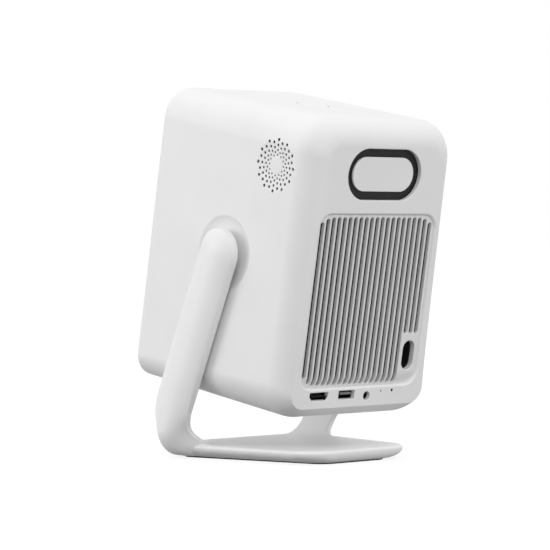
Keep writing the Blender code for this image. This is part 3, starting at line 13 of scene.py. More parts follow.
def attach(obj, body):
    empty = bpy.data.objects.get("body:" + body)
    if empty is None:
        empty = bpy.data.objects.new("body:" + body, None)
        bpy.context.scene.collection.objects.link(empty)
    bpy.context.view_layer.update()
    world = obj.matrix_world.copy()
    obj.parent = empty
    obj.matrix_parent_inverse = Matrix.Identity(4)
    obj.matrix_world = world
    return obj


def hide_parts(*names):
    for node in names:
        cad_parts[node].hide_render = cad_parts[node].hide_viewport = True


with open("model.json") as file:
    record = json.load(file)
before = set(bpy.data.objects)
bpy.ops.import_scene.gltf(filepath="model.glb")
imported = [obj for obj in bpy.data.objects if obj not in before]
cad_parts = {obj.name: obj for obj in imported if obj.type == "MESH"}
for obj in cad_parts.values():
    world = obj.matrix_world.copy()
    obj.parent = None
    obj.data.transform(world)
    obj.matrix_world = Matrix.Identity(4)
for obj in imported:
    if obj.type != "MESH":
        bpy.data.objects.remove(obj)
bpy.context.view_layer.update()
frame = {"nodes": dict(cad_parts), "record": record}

# Clearance, overrun of cutters and wall of the casing, as in the solids
gap = 0.0003
overrun = 0.002
wall = 0.003

# Casing
head_width = 0.1275
head_depth = 0.1463
head_height = 0.190
head_tilt = radians(10.1)
pivot_height = 0.132
pivot_behind_middle = 0.003
pivot_below_middle = 0.001
front_top_corner = 0.020
front_bottom_corner = 0.0135
rear_top_corner = 0.0243
rear_bottom_corner = 0.0232
rear_rim_length = 0.0165
rear_rim_top_drop = 0.0165
rear_rim_bottom_rise = 0.0082
rear_rim_top_inset = 0.0150
rear_rim_bottom_inset = 0.0062
rear_face_corner = 0.0105
front_rim_length = 0.0070
front_rim_top_drop = 0.0035
front_rim_bottom_rise = 0.0080
front_rim_inset = 0.0075
front_face_corner = 0.0100
front_border = 0.0020
half_width = head_width / 2
half_depth = head_depth / 2
half_height = head_height / 2

# Front panel and its windows
panel_thickness = 0.0030
panel_inset = 0.0005
lens_z = half_height - 0.050
lens_window_radius = 0.0226
lens_window_thickness = 0.0018
sensor_z = lens_z - 0.041
sensor_half_length = 0.0085
sensor_half_height = 0.0038
sensor_window_thickness = 0.0012
window_ledge = 0.0022

# Grille
grille_half_width = half_width - 0.01125
grille_top = half_height - 0.0577
grille_bottom = -half_height + 0.0210
grille_corner = 0.0110
grille_depth = 0.0016
grille_thickness = 0.0035
grille_scoop_height = 0.0090
grille_scoop_depth = 0.0035
grille_lip = 0.0018
grille_skin = 0.0024
collar_depth = 0.0085
# A black dust filter behind the slots, which also paints shade into them
filter_thickness = 0.0004
slot_count = 21
slot_side_margin = 0.0053
slot_pitch = 2 * (grille_half_width - slot_side_margin) / (slot_count - 1)
slot_width = 0.0032
slot_top_margin = 0.0035
slot_bottom_margin = 0.0008
slot_corner_run = 0.0140
slot_corner_drop = 0.0045
slot_corner_rise = 0.0075
short_slot_count = 3
rib_round = 0.0005

# Mains inlet
inlet_x = -half_width + 0.02105
inlet_z = -half_height + 0.0394
inlet_half_width = 0.00475
inlet_half_height = 0.00905
inlet_wall = 0.0014
inlet_floor_depth = 0.0150
inlet_body_length = 0.0190
inlet_pin_radius = 0.0012
inlet_pin_length = 0.0080
inlet_pin_spacing = 0.0086
inlet_mouth_half_width = 0.00515
inlet_mouth_half_height = 0.00945
inlet_collar = 0.0012
short_slot_bottom = inlet_z + inlet_half_height + 0.00505

# Badge field
badge_z = half_height - 0.0340
badge_half_length = 0.0319
badge_half_height = 0.0162
badge_cover_half_length = 0.0264
badge_cover_half_height = 0.0108
badge_cover_depth = 0.0017
badge_tray_thickness = 0.0015
badge_tray_lip = 0.0010

# Sockets
hdmi_x = 0.0339
hdmi_z = -half_height + 0.0158
hdmi_width = 0.0158
hdmi_height = 0.0052
hdmi_foot_width = 0.0120
hdmi_shoulder = 0.0022
usb_x = 0.0099
usb_z = -half_height + 0.0160
usb_width = 0.0139
usb_height = 0.0057
socket_wall = 0.00035
socket_depth = 0.0120
socket_floor = 0.0025
# Black linings inside the socket cans: painted shade that darkens the sockets' insides
shade_lining_depth = 0.0003
shade_lining_wall = 0.00015
tongue_thickness = 0.0014
tongue_inset = 0.0022
tongue_length = 0.0085
contact_start = 0.0005
hdmi_top_contacts = 10
hdmi_low_contacts = 9
hdmi_top_span = hdmi_foot_width * 0.84
hdmi_low_span = hdmi_foot_width * 0.76
hdmi_contact_width = 0.00045
hdmi_contact_thickness = 0.00008
hdmi_contact_setback = 0.0025
usb_contact_count = 4
usb_contact_width = 0.0010
usb_contact_thickness = 0.00010
usb_contact_setback = 0.0012
jack_x = -0.0080
jack_z = -half_height + 0.0146
jack_radius = 0.00285
jack_bore = 0.0018
jack_length = 0.0120
jack_mouth_radius = 0.00285
jack_face_depth = 0.0019
mic_x = -0.0204
mic_z = -half_height + 0.0172
mic_hole_radius = 0.0006
reset_x = -0.0303
reset_z = -half_height + 0.0174
reset_hole_radius = 0.0010
# Black tubes that paint shade into the mic and reset holes
pinhole_shade_lining = 0.00025
pinhole_depth = 0.0002

# Rosettes
rosette_y = half_depth - 0.03275
rosette_z = half_height - 0.0341
rosette_dish_radius = 0.0172
rosette_dish_depth = 0.0010
rosette_cap_radius = 0.0054
rosette_cap_step = 0.0003
rosette_skin = 0.0007
# A black speaker cloth behind the holes, whose black is also painted shade in them
rosette_cloth_radius = 0.0168
cloth_thickness = 0.0004
ring_count = 7
ring_holes = 12
first_ring_radius = 0.00647
ring_step = 0.00145
ring_step_growth = 0.0000225
odd_ring_shift = 0.00019
first_hole_radius = 0.00065
last_hole_radius = 0.00106

# Power button
button_y = 0.0003
button_radius = 0.0107
button_groove = 0.0009
button_flange = 0.0012
button_flange_thickness = 0.0010

# Pivots
dish_radius = 0.0244
dish_depth = 0.0022
boss_height = 0.0030
bush_radius = 0.0060
hub_radius = 0.0110
shaft_radius = 0.0037
shaft_seat_depth = 0.0060

# Stand
arm_gap = 0.00135
arm_width = 0.0308
arm_lean = radians(24.0)
arm_edge_thickness = 0.0048
arm_crown = 0.0044
arm_crown_power = 0.8
arm_inner_round = 0.0010
arm_fillet = 0.016
bend_top = 0.045
bend_end = 0.038
inner_bend_radius = 0.0225
outer_bend_radius = 0.0180
bend_crown_soften = 0.3
rear_crown_soften = 0.65
rear_soften_start = 0.30
base_thickness = 0.0081
base_edge_height = 0.0061
base_front = -0.0613
base_rear = 0.0600
base_front_half_width = 0.0530
base_shoulder_half_width = 0.0606
base_shoulder_y = -0.040
base_rear_half_width = 0.0443
base_corner_radii = (0.010, 0.006, 0.0195)
base_top_round = 0.0028
base_front_blend = 0.010
base_front_reach = 0.0083
base_rear_reach = 0.0165
foot_front = -0.0530
foot_rear = 0.0543
foot_front_half_width = 0.0565
foot_shoulder_half_width = 0.0541
foot_rear_half_width = 0.0286
foot_corner_radii = (0.008, 0.006, 0.013)
buried_depth = 0.00004
pad_lift = 0.0009
pad_thickness = 0.0012
pad_inset = 0.0004

# Small roundings along edges, for the looks only
lip = 0.0006
fine_lip = 0.00025
pinhole_lip = fine_lip / 3
seam = 0.00002
button_lip = 0.0005

# Facet counts
corner_steps = 16
rim_steps = 14
round_steps = 96
small_steps = 32
hole_sides = 16
edge_steps = 5
pivot_steps = 12
rosette_steps = 10
scoop_steps = 16
button_steps = 8
button_edge_steps = 4
socket_corner_steps = 3

pivot_y = pivot_behind_middle
pivot_z = -pivot_below_middle
head = (Matrix.Translation((0.0, 0.0, pivot_height)) @ Matrix.Rotation(-head_tilt, 4, "X")
        @ Matrix.Translation((0.0, -pivot_behind_middle, pivot_below_middle)))
arm_inner_x = half_width + arm_gap


# Materials
slow_scale = 28.0
slow_detail = 3.0
fine_detail = 2.0
roughness_spread = 0.04
least_roughness = 0.02
bump_strength = 0.6
ramp_places = (0.3, 0.7)
glass_scale = 40.0
glass_detail = 2.0
glass_lightening = 1.25
glass_coat = 0.3
glass_coat_roughness = 0.03


def links_of(material):
    return material.node_tree.nodes, material.node_tree.links


def shader_of(name):
    material = bpy.data.materials.new(name)
    material.use_nodes = True
    return material, material.node_tree.nodes["Principled BSDF"]


def noise_node(nodes, links, coordinate, scale, detail, stretch=(1.0, 1.0, 1.0)):
    mapping = nodes.new("ShaderNodeMapping")
    mapping.inputs["Scale"].default_value = stretch
    links.new(coordinate, mapping.inputs["Vector"])
    noise = nodes.new("ShaderNodeTexNoise")
    noise.inputs["Scale"].default_value = scale
    noise.inputs["Detail"].default_value = detail
    links.new(mapping.outputs["Vector"], noise.inputs["Vector"])
    return noise.outputs["Fac"]


def ramp_node(nodes, links, factor, low, high):
    ramp = nodes.new("ShaderNodeValToRGB")
    for element, position, colour in zip(ramp.color_ramp.elements, ramp_places, (low, high)):
        element.position = position
        element.color = (*colour, 1.0)
    links.new(factor, ramp.inputs["Fac"])
    return ramp.outputs["Color"]


def surface(name, colour, roughness, metallic=0.0, grain=2600.0, grain_height=0.00001, shade=0.03,
            stretch=(1.0, 1.0, 1.0), specular=0.5):
    """A finish with a fine grain in its bump, and slow changes in its colour and gloss."""
    material, shader = shader_of(name)
    nodes, links = links_of(material)
    place = nodes.new("ShaderNodeTexCoord").outputs["Object"]
    slow = noise_node(nodes, links, place, slow_scale, slow_detail)
    fine = noise_node(nodes, links, place, grain, fine_detail, stretch)
    darker = [channel * (1.0 - shade) for channel in colour]
    links.new(ramp_node(nodes, links, slow, darker, colour), shader.inputs["Base Color"])
    low = [max(roughness - roughness_spread, least_roughness)] * 3
    high = [min(roughness + roughness_spread, 1.0)] * 3
    links.new(ramp_node(nodes, links, fine, low, high), shader.inputs["Roughness"])
    if grain_height > 0.0:
        bump = nodes.new("ShaderNodeBump")
        bump.inputs["Strength"].default_value = bump_strength
        bump.inputs["Distance"].default_value = grain_height
        links.new(fine, bump.inputs["Height"])
        links.new(bump.outputs["Normal"], shader.inputs["Normal"])
    shader.inputs["Metallic"].default_value = metallic
    shader.inputs["Specular IOR Level"].default_value = specular
    return material


def glass_finish(name, colour, roughness, alpha):
    """Tinted glass whose see-through share is set by its alpha."""
    material, shader = shader_of(name)
    nodes, links = links_of(material)
    place = nodes.new("ShaderNodeTexCoord").outputs["Object"]
    slow = noise_node(nodes, links, place, glass_scale, glass_detail)
    tinted = [channel * glass_lightening for channel in colour]
    links.new(ramp_node(nodes, links, slow, colour, tinted), shader.inputs["Base Color"])
    shader.inputs["Roughness"].default_value = roughness
    shader.inputs["Alpha"].default_value = alpha
    shader.inputs["Coat Weight"].default_value = glass_coat
    shader.inputs["Coat Roughness"].default_value = glass_coat_roughness
    return material


finishes = {
    "white_casing": surface("casing_white", (0.845, 0.845, 0.847), 0.50),
    "white_stand": surface("stand_white", (0.86, 0.86, 0.862), 0.44, grain=3400.0, grain_height=0.000006),
    "white_grille": surface("grille_white", (0.80, 0.80, 0.803), 0.52),
    "white_badge": surface("badge_white", (0.84, 0.84, 0.842), 0.40, grain_height=0.000005),
    "white_button": surface("button_white", (0.84, 0.84, 0.842), 0.42, grain_height=0.000005),
    "black_tray": surface("tray_black", (0.004, 0.004, 0.0045), 0.55, shade=0.2, specular=0.3),
    "dark_panel": surface("panel_smoke", (0.012, 0.012, 0.014), 0.46, grain_height=0.000004, shade=0.15,
                          specular=0.3),
    "dark_glass": glass_finish("window_glass", (0.006, 0.006, 0.010), 0.04, 0.72),
    "lens_glass": glass_finish("coated_lens", (0.10, 0.06, 0.22), 0.02, 0.45),
    "black_plastic": surface("plastic_black", (0.016, 0.016, 0.017), 0.48, shade=0.2),
    "black_rubber": surface("rubber_black", (0.022, 0.022, 0.022), 0.85, grain=1600.0, grain_height=0.00003,
                            shade=0.25),
    "steel": surface("plain_steel", (0.56, 0.57, 0.59), 0.30, 1.0, grain=900.0, stretch=(1.0, 8.0, 8.0)),
    "spring_steel": surface("spring_steel", (0.40, 0.41, 0.44), 0.34, 1.0, grain=900.0,
                            stretch=(8.0, 1.0, 8.0)),
    "brass": surface("turned_brass", (0.72, 0.54, 0.26), 0.32, 1.0, grain=900.0, stretch=(8.0, 1.0, 8.0)),
    "aluminium": surface("plain_aluminium", (0.62, 0.63, 0.65), 0.42, 1.0, grain=1200.0,
                         stretch=(1.0, 1.0, 9.0)),
    "socket_metal": surface("nickel_plate", (0.46, 0.46, 0.48), 0.32, 1.0, grain=1800.0),
    "green_board": surface("board_green", (0.012, 0.11, 0.05), 0.45, grain=900.0, shade=0.35),
    # Near-black with little gloss: painted shade for the sockets' insides, also on the HDMI socket's black
    # tongue
    "socket_shade_black": surface("socket_shade_black", (0.005, 0.005, 0.005), 0.75, shade=0.2, specular=0.15),
    "grey_plastic": surface("plastic_grey", (0.20, 0.20, 0.21), 0.55, shade=0.1),
    "gold_contact": surface("contact_gold", (0.78, 0.58, 0.22), 0.28, 1.0, grain=2000.0),
    # Black cloth, used behind the rosette holes and the grille's slots, where its black is also painted shade
    "speaker_cloth": surface("cloth_black", (0.012, 0.012, 0.013), 0.95, grain=3000.0, grain_height=0.00008,
                             shade=0.5),
}


# Outlines
def quarter(steps, first=0):
    """The sine and cosine of evenly spaced angles over a quarter turn."""
    return [(sin(pi / 2 * step / steps), cos(pi / 2 * step / steps)) for step in range(first, steps + 1)]


def arc(centre, radius, start, end, steps):
    points = []
    for step in range(steps + 1):
        angle = start + (end - start) * step / steps
        points.append((centre[0] + radius * cos(angle), centre[1] + radius * sin(angle)))
    return points


def circle(centre, radius, steps):
    return arc(centre, radius, 0.0, 2 * pi, steps)[:-1]


def pill(centre, half_length, half_height, steps):
    reach = half_length - half_height
    right = arc((centre[0] + reach, centre[1]), half_height, -pi / 2, pi / 2, steps)
    return right + arc((centre[0] - reach, centre[1]), half_height, pi / 2, 3 * pi / 2, steps)


def upright_pill(centre, half_width, half_height, steps):
    reach = half_height - half_width
    top = arc((centre[0], centre[1] + reach), half_width, 0.0, pi, steps)
    return top + arc((centre[0], centre[1] - reach), half_width, pi, 2 * pi, steps)


def rounded_polygon(corners, radii, steps):
    points = []
    for index, (corner, radius) in enumerate(zip(corners, radii)):
        corner = Vector(corner)
        before = (Vector(corners[index - 1]) - corner).normalized()
        after = (Vector(corners[(index + 1) % len(corners)]) - corner).normalized()
        half = before.angle(after) / 2
        centre = corner + (before + after).normalized() * (radius / sin(half))
        first = corner + before * (radius / tan(half))
        last = corner + after * (radius / tan(half))
        start = atan2(first.y - centre.y, first.x - centre.x)
        end = atan2(last.y - centre.y, last.x - centre.x)
        if end < start:
            end += 2 * pi
        if end - start > pi:
            end -= 2 * pi
        points += arc(centre, radius, start, end, steps)
    return points


def rounded_box(low, high, radius, steps):
    corners = [(low[0], low[1]), (high[0], low[1]), (high[0], high[1]), (low[0], high[1])]
    return rounded_polygon(corners, [radius] * len(corners), steps)


# Solids
def new_piece(name, body):
    """An object with the mesh that was built up in body."""
    mesh = bpy.data.meshes.new(name)
    body.to_mesh(mesh)
    body.free()
    made = bpy.data.objects.new(name, mesh)
    bpy.context.scene.collection.objects.link(made)
    return made


def loft(name, rings):
    """Skin between rings of equal point counts, closed at both ends."""
    body = bmesh.new()
    rows = [[body.verts.new(point) for point in ring] for ring in rings]
    count = len(rings[0])
    for row, next_row in zip(rows, rows[1:]):
        for index in range(count):
            after = (index + 1) % count
            body.faces.new((row[index], row[after], next_row[after], next_row[index]))
    body.faces.new(list(reversed(rows[0])))
    body.faces.new(rows[-1])
    bmesh.ops.recalc_face_normals(body, faces=body.faces)
    return new_piece(name, body)


def turned(name, profile, steps):
    """A profile of (radius, height) from axis to axis, turned about Z."""
    body = bmesh.new()
    directions = [(cos(2 * pi * index / steps), sin(2 * pi * index / steps)) for index in range(steps)]
    rows = []
    for radius, height in profile:
        if radius == 0.0:
            rows.append([body.verts.new((0.0, 0.0, height))])
        else:
            rows.append([body.verts.new((radius * x, radius * y, height)) for x, y in directions])
    pairs = list(zip(rows, rows[1:]))
    if len(rows[0]) > 1:
        pairs.append((rows[-1], rows[0]))
    for row, next_row in pairs:
        for index in range(steps):
            after = (index + 1) % steps
            corners = [row[index % len(row)], row[after % len(row)],
                       next_row[after % len(next_row)], next_row[index % len(next_row)]]
            body.faces.new(list(dict.fromkeys(corners)))
    bmesh.ops.recalc_face_normals(body, faces=body.faces)
    return new_piece(name, body)


def block(name, low, high):
    body = bmesh.new()
    bmesh.ops.create_cube(body, size=1.0)
    size = Vector(high) - Vector(low)
    middle = (Vector(high) + Vector(low)) / 2
    body.transform(Matrix.Translation(middle) @ Matrix.Diagonal((*size, 1.0)))
    return new_piece(name, body)


def moved(made, matrix):
    made.data.transform(matrix)
    return made


def fixed_form(made):
    """The object with its modifiers worked into its mesh."""
    bpy.context.view_layer.update()
    graph = bpy.context.evaluated_depsgraph_get()
    mesh = bpy.data.meshes.new_from_object(made.evaluated_get(graph), depsgraph=graph)
    made.modifiers.clear()
    made.data = mesh
    return made


def combine(made, others, operation):
    for other in others:
        modifier = made.modifiers.new(operation.lower(), "BOOLEAN")
        modifier.operation = operation
        modifier.solver = "EXACT"
        modifier.object = other
    fixed_form(made)
    for other in others:
        bpy.data.objects.remove(other, do_unlink=True)
    return made


def cut(made, *others):
    return combine(made, others, "DIFFERENCE")


def join(made, *others):
    return combine(made, others, "UNION")


def bevelled(made, width, segments=3, angle=radians(40.0)):
    bevel = made.modifiers.new("edges", "BEVEL")
    bevel.width = width
    bevel.segments = segments
    bevel.limit_method = "ANGLE"
    bevel.angle_limit = angle
    bevel.use_clamp_overlap = True
    return fixed_form(made)


def shaded(made, angle=radians(34.0)):
    """Smooth shading that keeps wide flat faces flat."""
    made.data.shade_smooth()
    made.data.set_sharp_from_angle(angle=angle)
    weighted = made.modifiers.new("weighted", "WEIGHTED_NORMAL")
    weighted.keep_sharp = True
    return fixed_form(made)


def place(made, body, slot, finish, *replaced):
    """Sets a finished piece on its body and hides the solids that it stands for. The slot is not used."""
    made.data.materials.clear()
    made.data.materials.append(finishes[finish])
    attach(made, body)
    if replaced:
        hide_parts(*replaced)


def place_on_head(made, slot, finish, *replaced):
    """Turns a piece shaped in the head's own frame to the rest tilt, and sets it on the head."""
    shaded(moved(made, head))
    place(made, "head", slot, finish, *replaced)


# Directions in the head's frame: an outline's (u, v) and a depth below the surface give a place
def from_rear(u, v, depth):
    return (u, half_depth - depth, v)


def from_front(u, v, depth):
    return (-u, -half_depth + depth, v)


def from_top(u, v, depth):
    return (u, v, half_height - depth)


def from_side(side):
    def spot(u, v, depth):
        return (side * (half_width - depth), u * side, v)
    return spot


def prism(name, outline, shallow, deep, spot):
    """A straight solid between two depths below a surface."""
    return loft(name, [[spot(u, v, depth) for u, v in outline] for depth in (shallow, deep)])


def lipped(name, outline, edge, deep, spot, start=0.0):
    """A cutter whose mouth opens outwards in a quarter round, so that the opening gets a rounded edge."""
    rings = [[spot(u, v, start - overrun) for u, v in outline(edge)]]
    for sine, cosine in quarter(edge_steps):
        depth = start + edge * (1 - cosine) - edge / 50
        rings.append([spot(u, v, depth) for u, v in outline(edge * (1 - sine))])
    rings.append([spot(u, v, deep) for u, v in outline(0.0)])
    return loft(name, rings)


def rounded_prism(name, outline, edge, shallow, deep, spot):
    """A straight solid whose outer edge is rounded. The outline takes an outward offset."""
    rings = []
    for sine, cosine in reversed(quarter(edge_steps)):
        depth = shallow + edge * (1 - sine)
        rings.append([spot(u, v, depth) for u, v in outline(-edge * (1 - cosine))])
    rings.append([spot(u, v, deep) for u, v in outline(0.0)])
    return loft(name, rings)


# Casing
def rim_fall(length, fall, distance):
    reach = max(length - distance, 0.0)
    radius = (length * length + fall * fall) / (2 * fall)
    return radius - sqrt(max(radius * radius - reach * reach, 0.0))


def casing_ring(y, offset, steps):
    """The casing's outline at one place along Y, drawn in by an offset for the cavity."""
    along = (y + half_depth) / head_depth
    from_rear_face = half_depth - offset - y
    from_front_face = y + half_depth
    top_corner = front_top_corner + (rear_top_corner - front_top_corner) * along
    bottom_corner = front_bottom_corner + (rear_bottom_corner - front_bottom_corner) * along
    top_fall = rim_fall(rear_rim_length, rear_rim_top_drop, from_rear_face)
    top_fall += rim_fall(front_rim_length, front_rim_top_drop, from_front_face)
    bottom_rise = rim_fall(rear_rim_length, rear_rim_bottom_rise, from_rear_face)
    bottom_rise += rim_fall(front_rim_length, front_rim_bottom_rise, from_front_face)
    top_inset = rim_fall(rear_rim_length, rear_rim_top_inset, from_rear_face)
    bottom_inset = rim_fall(rear_rim_length, rear_rim_bottom_inset, from_rear_face)
    front_inset = rim_fall(front_rim_length, front_rim_inset, from_front_face)
    top_share = (top_fall + top_inset + front_inset) / (rear_rim_top_drop + rear_rim_top_inset)
    bottom_share = (bottom_rise + bottom_inset + front_inset) / (rear_rim_bottom_rise + rear_rim_bottom_inset)
    top_corner += (rear_face_corner - top_corner) * min(top_share, 1.0)
    bottom_corner += (rear_face_corner - bottom_corner) * min(bottom_share, 1.0)
    top_corner = max(top_corner - offset, wall)
    bottom_corner = max(bottom_corner - offset, wall)
    top_x = half_width - top_inset - front_inset - offset
    bottom_x = half_width - bottom_inset - front_inset - offset
    top_z = half_height - top_fall - offset
    bottom_z = -half_height + bottom_rise + offset
    points = arc((bottom_x - bottom_corner, bottom_z + bottom_corner), bottom_corner, -pi / 2, 0.0, steps)
    points += arc((top_x - top_corner, top_z - top_corner), top_corner, 0.0, pi / 2, steps)
    points += arc((-top_x + top_corner, top_z - top_corner), top_corner, pi / 2, pi, steps)
    points += arc((-bottom_x + bottom_corner, bottom_z + bottom_corner), bottom_corner, pi, 3 * pi / 2, steps)
    return [(u, y, v) for u, v in points]


def rim_stations(length, steps):
    return [length * (1 - cosine) for sine, cosine in quarter(steps)]


def grille_outline(offset):
    """The opening under the grille's rounded lip. Offset by the lip, it is the recess seen from outside."""
    low = (-grille_half_width + grille_lip - offset, grille_bottom - offset)
    high = (grille_half_width - grille_lip + offset, grille_top - grille_lip + offset)
    return rounded_box(low, high, grille_corner - grille_lip + offset, corner_steps)


def badge_outline(offset):
    return pill((0.0, badge_z), badge_half_length + offset, badge_half_height + offset, 2 * corner_steps)


def hdmi_outline(offset):
    half = hdmi_width / 2 + offset
    foot = hdmi_foot_width / 2 + offset
    top = hdmi_z + hdmi_height / 2 + offset
    bottom = hdmi_z - hdmi_height / 2 - offset
    shoulder = bottom + hdmi_shoulder
    corners = [(-foot, bottom), (foot, bottom), (half, shoulder), (half, top), (-half, top),
               (-half, shoulder)]
    radii = [hdmi_shoulder / 5 + offset] * len(corners)
    return rounded_polygon([(hdmi_x + x, z) for x, z in corners], radii, socket_corner_steps)


def usb_outline(offset):
    low = (usb_x - usb_width / 2 - offset, usb_z - usb_height / 2 - offset)
    high = (usb_x + usb_width / 2 + offset, usb_z + usb_height / 2 + offset)
    return rounded_box(low, high, lip / 2 + offset, socket_corner_steps)


def front_outline(offset):
    top_x = half_width - front_rim_inset - front_border + offset
    top_z = half_height - front_rim_top_drop - front_border + offset
    bottom_z = -half_height + front_rim_bottom_rise + front_border - offset
    return rounded_box((-top_x, bottom_z), (top_x, top_z), front_face_corner + offset, corner_steps)


def round_outline(centre, radius, steps=round_steps):
    def outline(offset):
        return circle(centre, radius + offset, steps)
    return outline


def dish_cutter(name, profile, side, centre):
    """A turned hollow let into a side wall. The profile is (radius, depth) from the middle outwards."""
    outer = [(0.0, overrun), (profile[-1][0], overrun)]
    made = turned(name, outer + [(radius, -depth) for radius, depth in reversed(profile)], round_steps)
    turn = Matrix.Rotation(side * pi / 2, 4, "Y")
    return moved(made, Matrix.Translation((side * half_width, centre[0], centre[1])) @ turn)


def pivot_profile():
    flat = hub_radius + 2 * gap
    profile = [(0.0, dish_depth), (flat, dish_depth)]
    steps = pivot_steps
    for step in range(1, steps + 1):
        across = step / steps
        profile.append((flat + (dish_radius - flat) * across, dish_depth * (1 - across ** 2.6)))
    return profile


def rosette_profile():
    """A shallow ball-shaped hollow with a raised plain cap in its middle."""
    ball = (rosette_dish_radius ** 2 + rosette_dish_depth ** 2) / (2 * rosette_dish_depth)
    cap_depth = rosette_dish_depth - rosette_cap_step
    profile = [(0.0, cap_depth), (rosette_cap_radius - fine_lip, cap_depth),
               (rosette_cap_radius, cap_depth + pinhole_lip)]
    steps = rosette_steps
    for step in range(steps + 1):
        radius = rosette_cap_radius + (rosette_dish_radius - rosette_cap_radius) * step / steps
        depth = rosette_dish_depth - (ball - sqrt(ball * ball - radius * radius))
        profile.append((radius + (fine_lip / 4 if step == 0 else 0.0), depth))
    return profile


def behind_rosette(name, front, back, radius, side):
    """A turned body that follows the hollow of the rosette at a distance under the skin."""
    shape = [(reach, depth) for reach, depth in rosette_profile() if reach < radius]
    shape.append((radius, shape[-1][1]))
    profile = [(reach, -depth - front) for reach, depth in shape]
    if back is None:
        profile += [(radius, -wall - overrun), (0.0, -wall - overrun)]
    else:
        profile += [(reach, -depth - back) for reach, depth in shape[::-1]]
    made = turned(name, profile, round_steps)
    turn = Matrix.Rotation(side * pi / 2, 4, "Y")
    return moved(made, Matrix.Translation((side * half_width, rosette_y, rosette_z)) @ turn)


def hole_cutters(name, side):
    body = bmesh.new()
    for ring in range(ring_count):
        odd = ring % 2
        radius = first_ring_radius + ring_step * ring + ring_step_growth * ring * ring + odd_ring_shift * odd
        hole = first_hole_radius + (last_hole_radius - first_hole_radius) * ring / (ring_count - 1)
        for index in range(ring_holes):
            angle = 2 * pi * (index + odd / 2) / ring_holes
            spot = Matrix.Translation((side * (half_width - wall / 2), rosette_y + radius * cos(angle),
                                       rosette_z + radius * sin(angle)))
            bmesh.ops.create_cone(body, cap_ends=True, segments=hole_sides, radius1=hole, radius2=hole,
                                  depth=wall + 2 * overrun, matrix=spot @ Matrix.Rotation(pi / 2, 4, "Y"))
    return new_piece(name, body)


def make_casing():
    rear = [half_depth - distance for distance in rim_stations(rear_rim_length, rim_steps)]
    front = [-half_depth + distance for distance in rim_stations(front_rim_length, rim_steps // 2)]
    casing = loft("casing", [casing_ring(y, 0.0, corner_steps) for y in rear + front[::-1]])
    cavity_rear = half_depth - wall
    stations = [cavity_rear - distance for distance in rim_stations(rear_rim_length, rim_steps // 2)]
    stations.append(-half_depth + front_rim_length)
    cavity = loft("cavity", [casing_ring(y, wall, corner_steps // 2) for y in stations])
    cut(casing, cavity)
    join(casing, prism("grille_collar", grille_outline(grille_lip), wall / 2, collar_depth, from_rear))
    depth = wall + overrun
    deep = depth + wall
    cutters = [
        lipped("front_cut", front_outline, fine_lip, front_rim_length + overrun, from_front),
        lipped("grille_cut", grille_outline, grille_lip, collar_depth + overrun, from_rear),
        lipped("badge_cut", badge_outline, lip, depth, from_rear),
        lipped("hdmi_cut", hdmi_outline, fine_lip, deep, from_rear),
        lipped("usb_cut", usb_outline, fine_lip, deep, from_rear),
        lipped("jack_cut", round_outline((jack_x, jack_z), jack_mouth_radius, small_steps), fine_lip, deep,
               from_rear),
        prism("jack_seat", circle((jack_x, jack_z), jack_radius, small_steps), jack_face_depth, deep,
              from_rear),
        lipped("mic_cut", round_outline((mic_x, mic_z), mic_hole_radius, small_steps), pinhole_lip,
               deep, from_rear),
        lipped("reset_cut", round_outline((reset_x, reset_z), reset_hole_radius, small_steps), pinhole_lip,
               deep, from_rear),
        lipped("button_cut", round_outline((0.0, button_y), button_radius + gap), button_lip, depth,
               from_top),
        prism("tray_cut", pill((0.0, badge_z), badge_half_length + badge_tray_lip + gap,
                               badge_half_height + badge_tray_lip + gap, 2 * corner_steps),
              wall, wall + rear_rim_length, from_rear),
    ]
    for side in (1, -1):
        cutters.append(dish_cutter("pivot_cut", pivot_profile(), side, (pivot_y, pivot_z)))
        cutters.append(dish_cutter("rosette_cut", rosette_profile(), side, (rosette_y, rosette_z)))
        cutters.append(prism("bush_cut", circle((side * pivot_y, pivot_z), bush_radius + gap, small_steps),
                             -overrun, wall + boss_height + overrun, from_side(side)))
        cutters.append(behind_rosette("cloth_cut", rosette_skin, None, rosette_cloth_radius, side))
        cutters.append(hole_cutters("holes_cut", side))
    cut(casing, *cutters)
    place_on_head(casing, "white_casing", "white_casing", "main_shell")


make_casing()


def make_shade_linings():
    # Black speaker cloths behind the rosettes' holes; their black is also painted shade that darkens the
    # holes
    for side, name in ((1, "shade_cloth_left"), (-1, "shade_cloth_right")):
        shade_cloth = behind_rosette(name, rosette_skin + seam, rosette_skin + cloth_thickness,
                               rosette_cloth_radius - gap, side)
        place_on_head(shade_cloth, "black_rubber", "speaker_cloth")
    # Black tubes in the mic and reset holes: painted shade that darkens the holes' insides
    for name, x, z, radius in (("mic_shade_lining", mic_x, mic_z, mic_hole_radius),
                               ("reset_shade_lining", reset_x, reset_z, reset_hole_radius)):
        shade_lining = prism(name, circle((x, z), radius - seam, small_steps), pinhole_depth, wall, from_rear)
        cut(shade_lining, prism("bore", circle((x, z), radius - pinhole_shade_lining, small_steps),
                          pinhole_depth - overrun, wall - overrun / 4, from_rear))
        place_on_head(shade_lining, "black_rubber", "black_rubber")


make_shade_linings()


# Grille
def slot_ends(x):
    over = max(abs(x) - (grille_half_width - slot_pitch - slot_corner_run), 0.0) / slot_corner_run
    arch = 1 - sqrt(max(1 - over * over, 0.0))
    top = grille_top - slot_top_margin - slot_corner_drop * arch
    bottom = grille_bottom + slot_bottom_margin + slot_corner_rise * arch
    if x < (short_slot_count - (slot_count + 1) / 2 + 1 / 2) * slot_pitch:
        bottom = short_slot_bottom
    return bottom, top


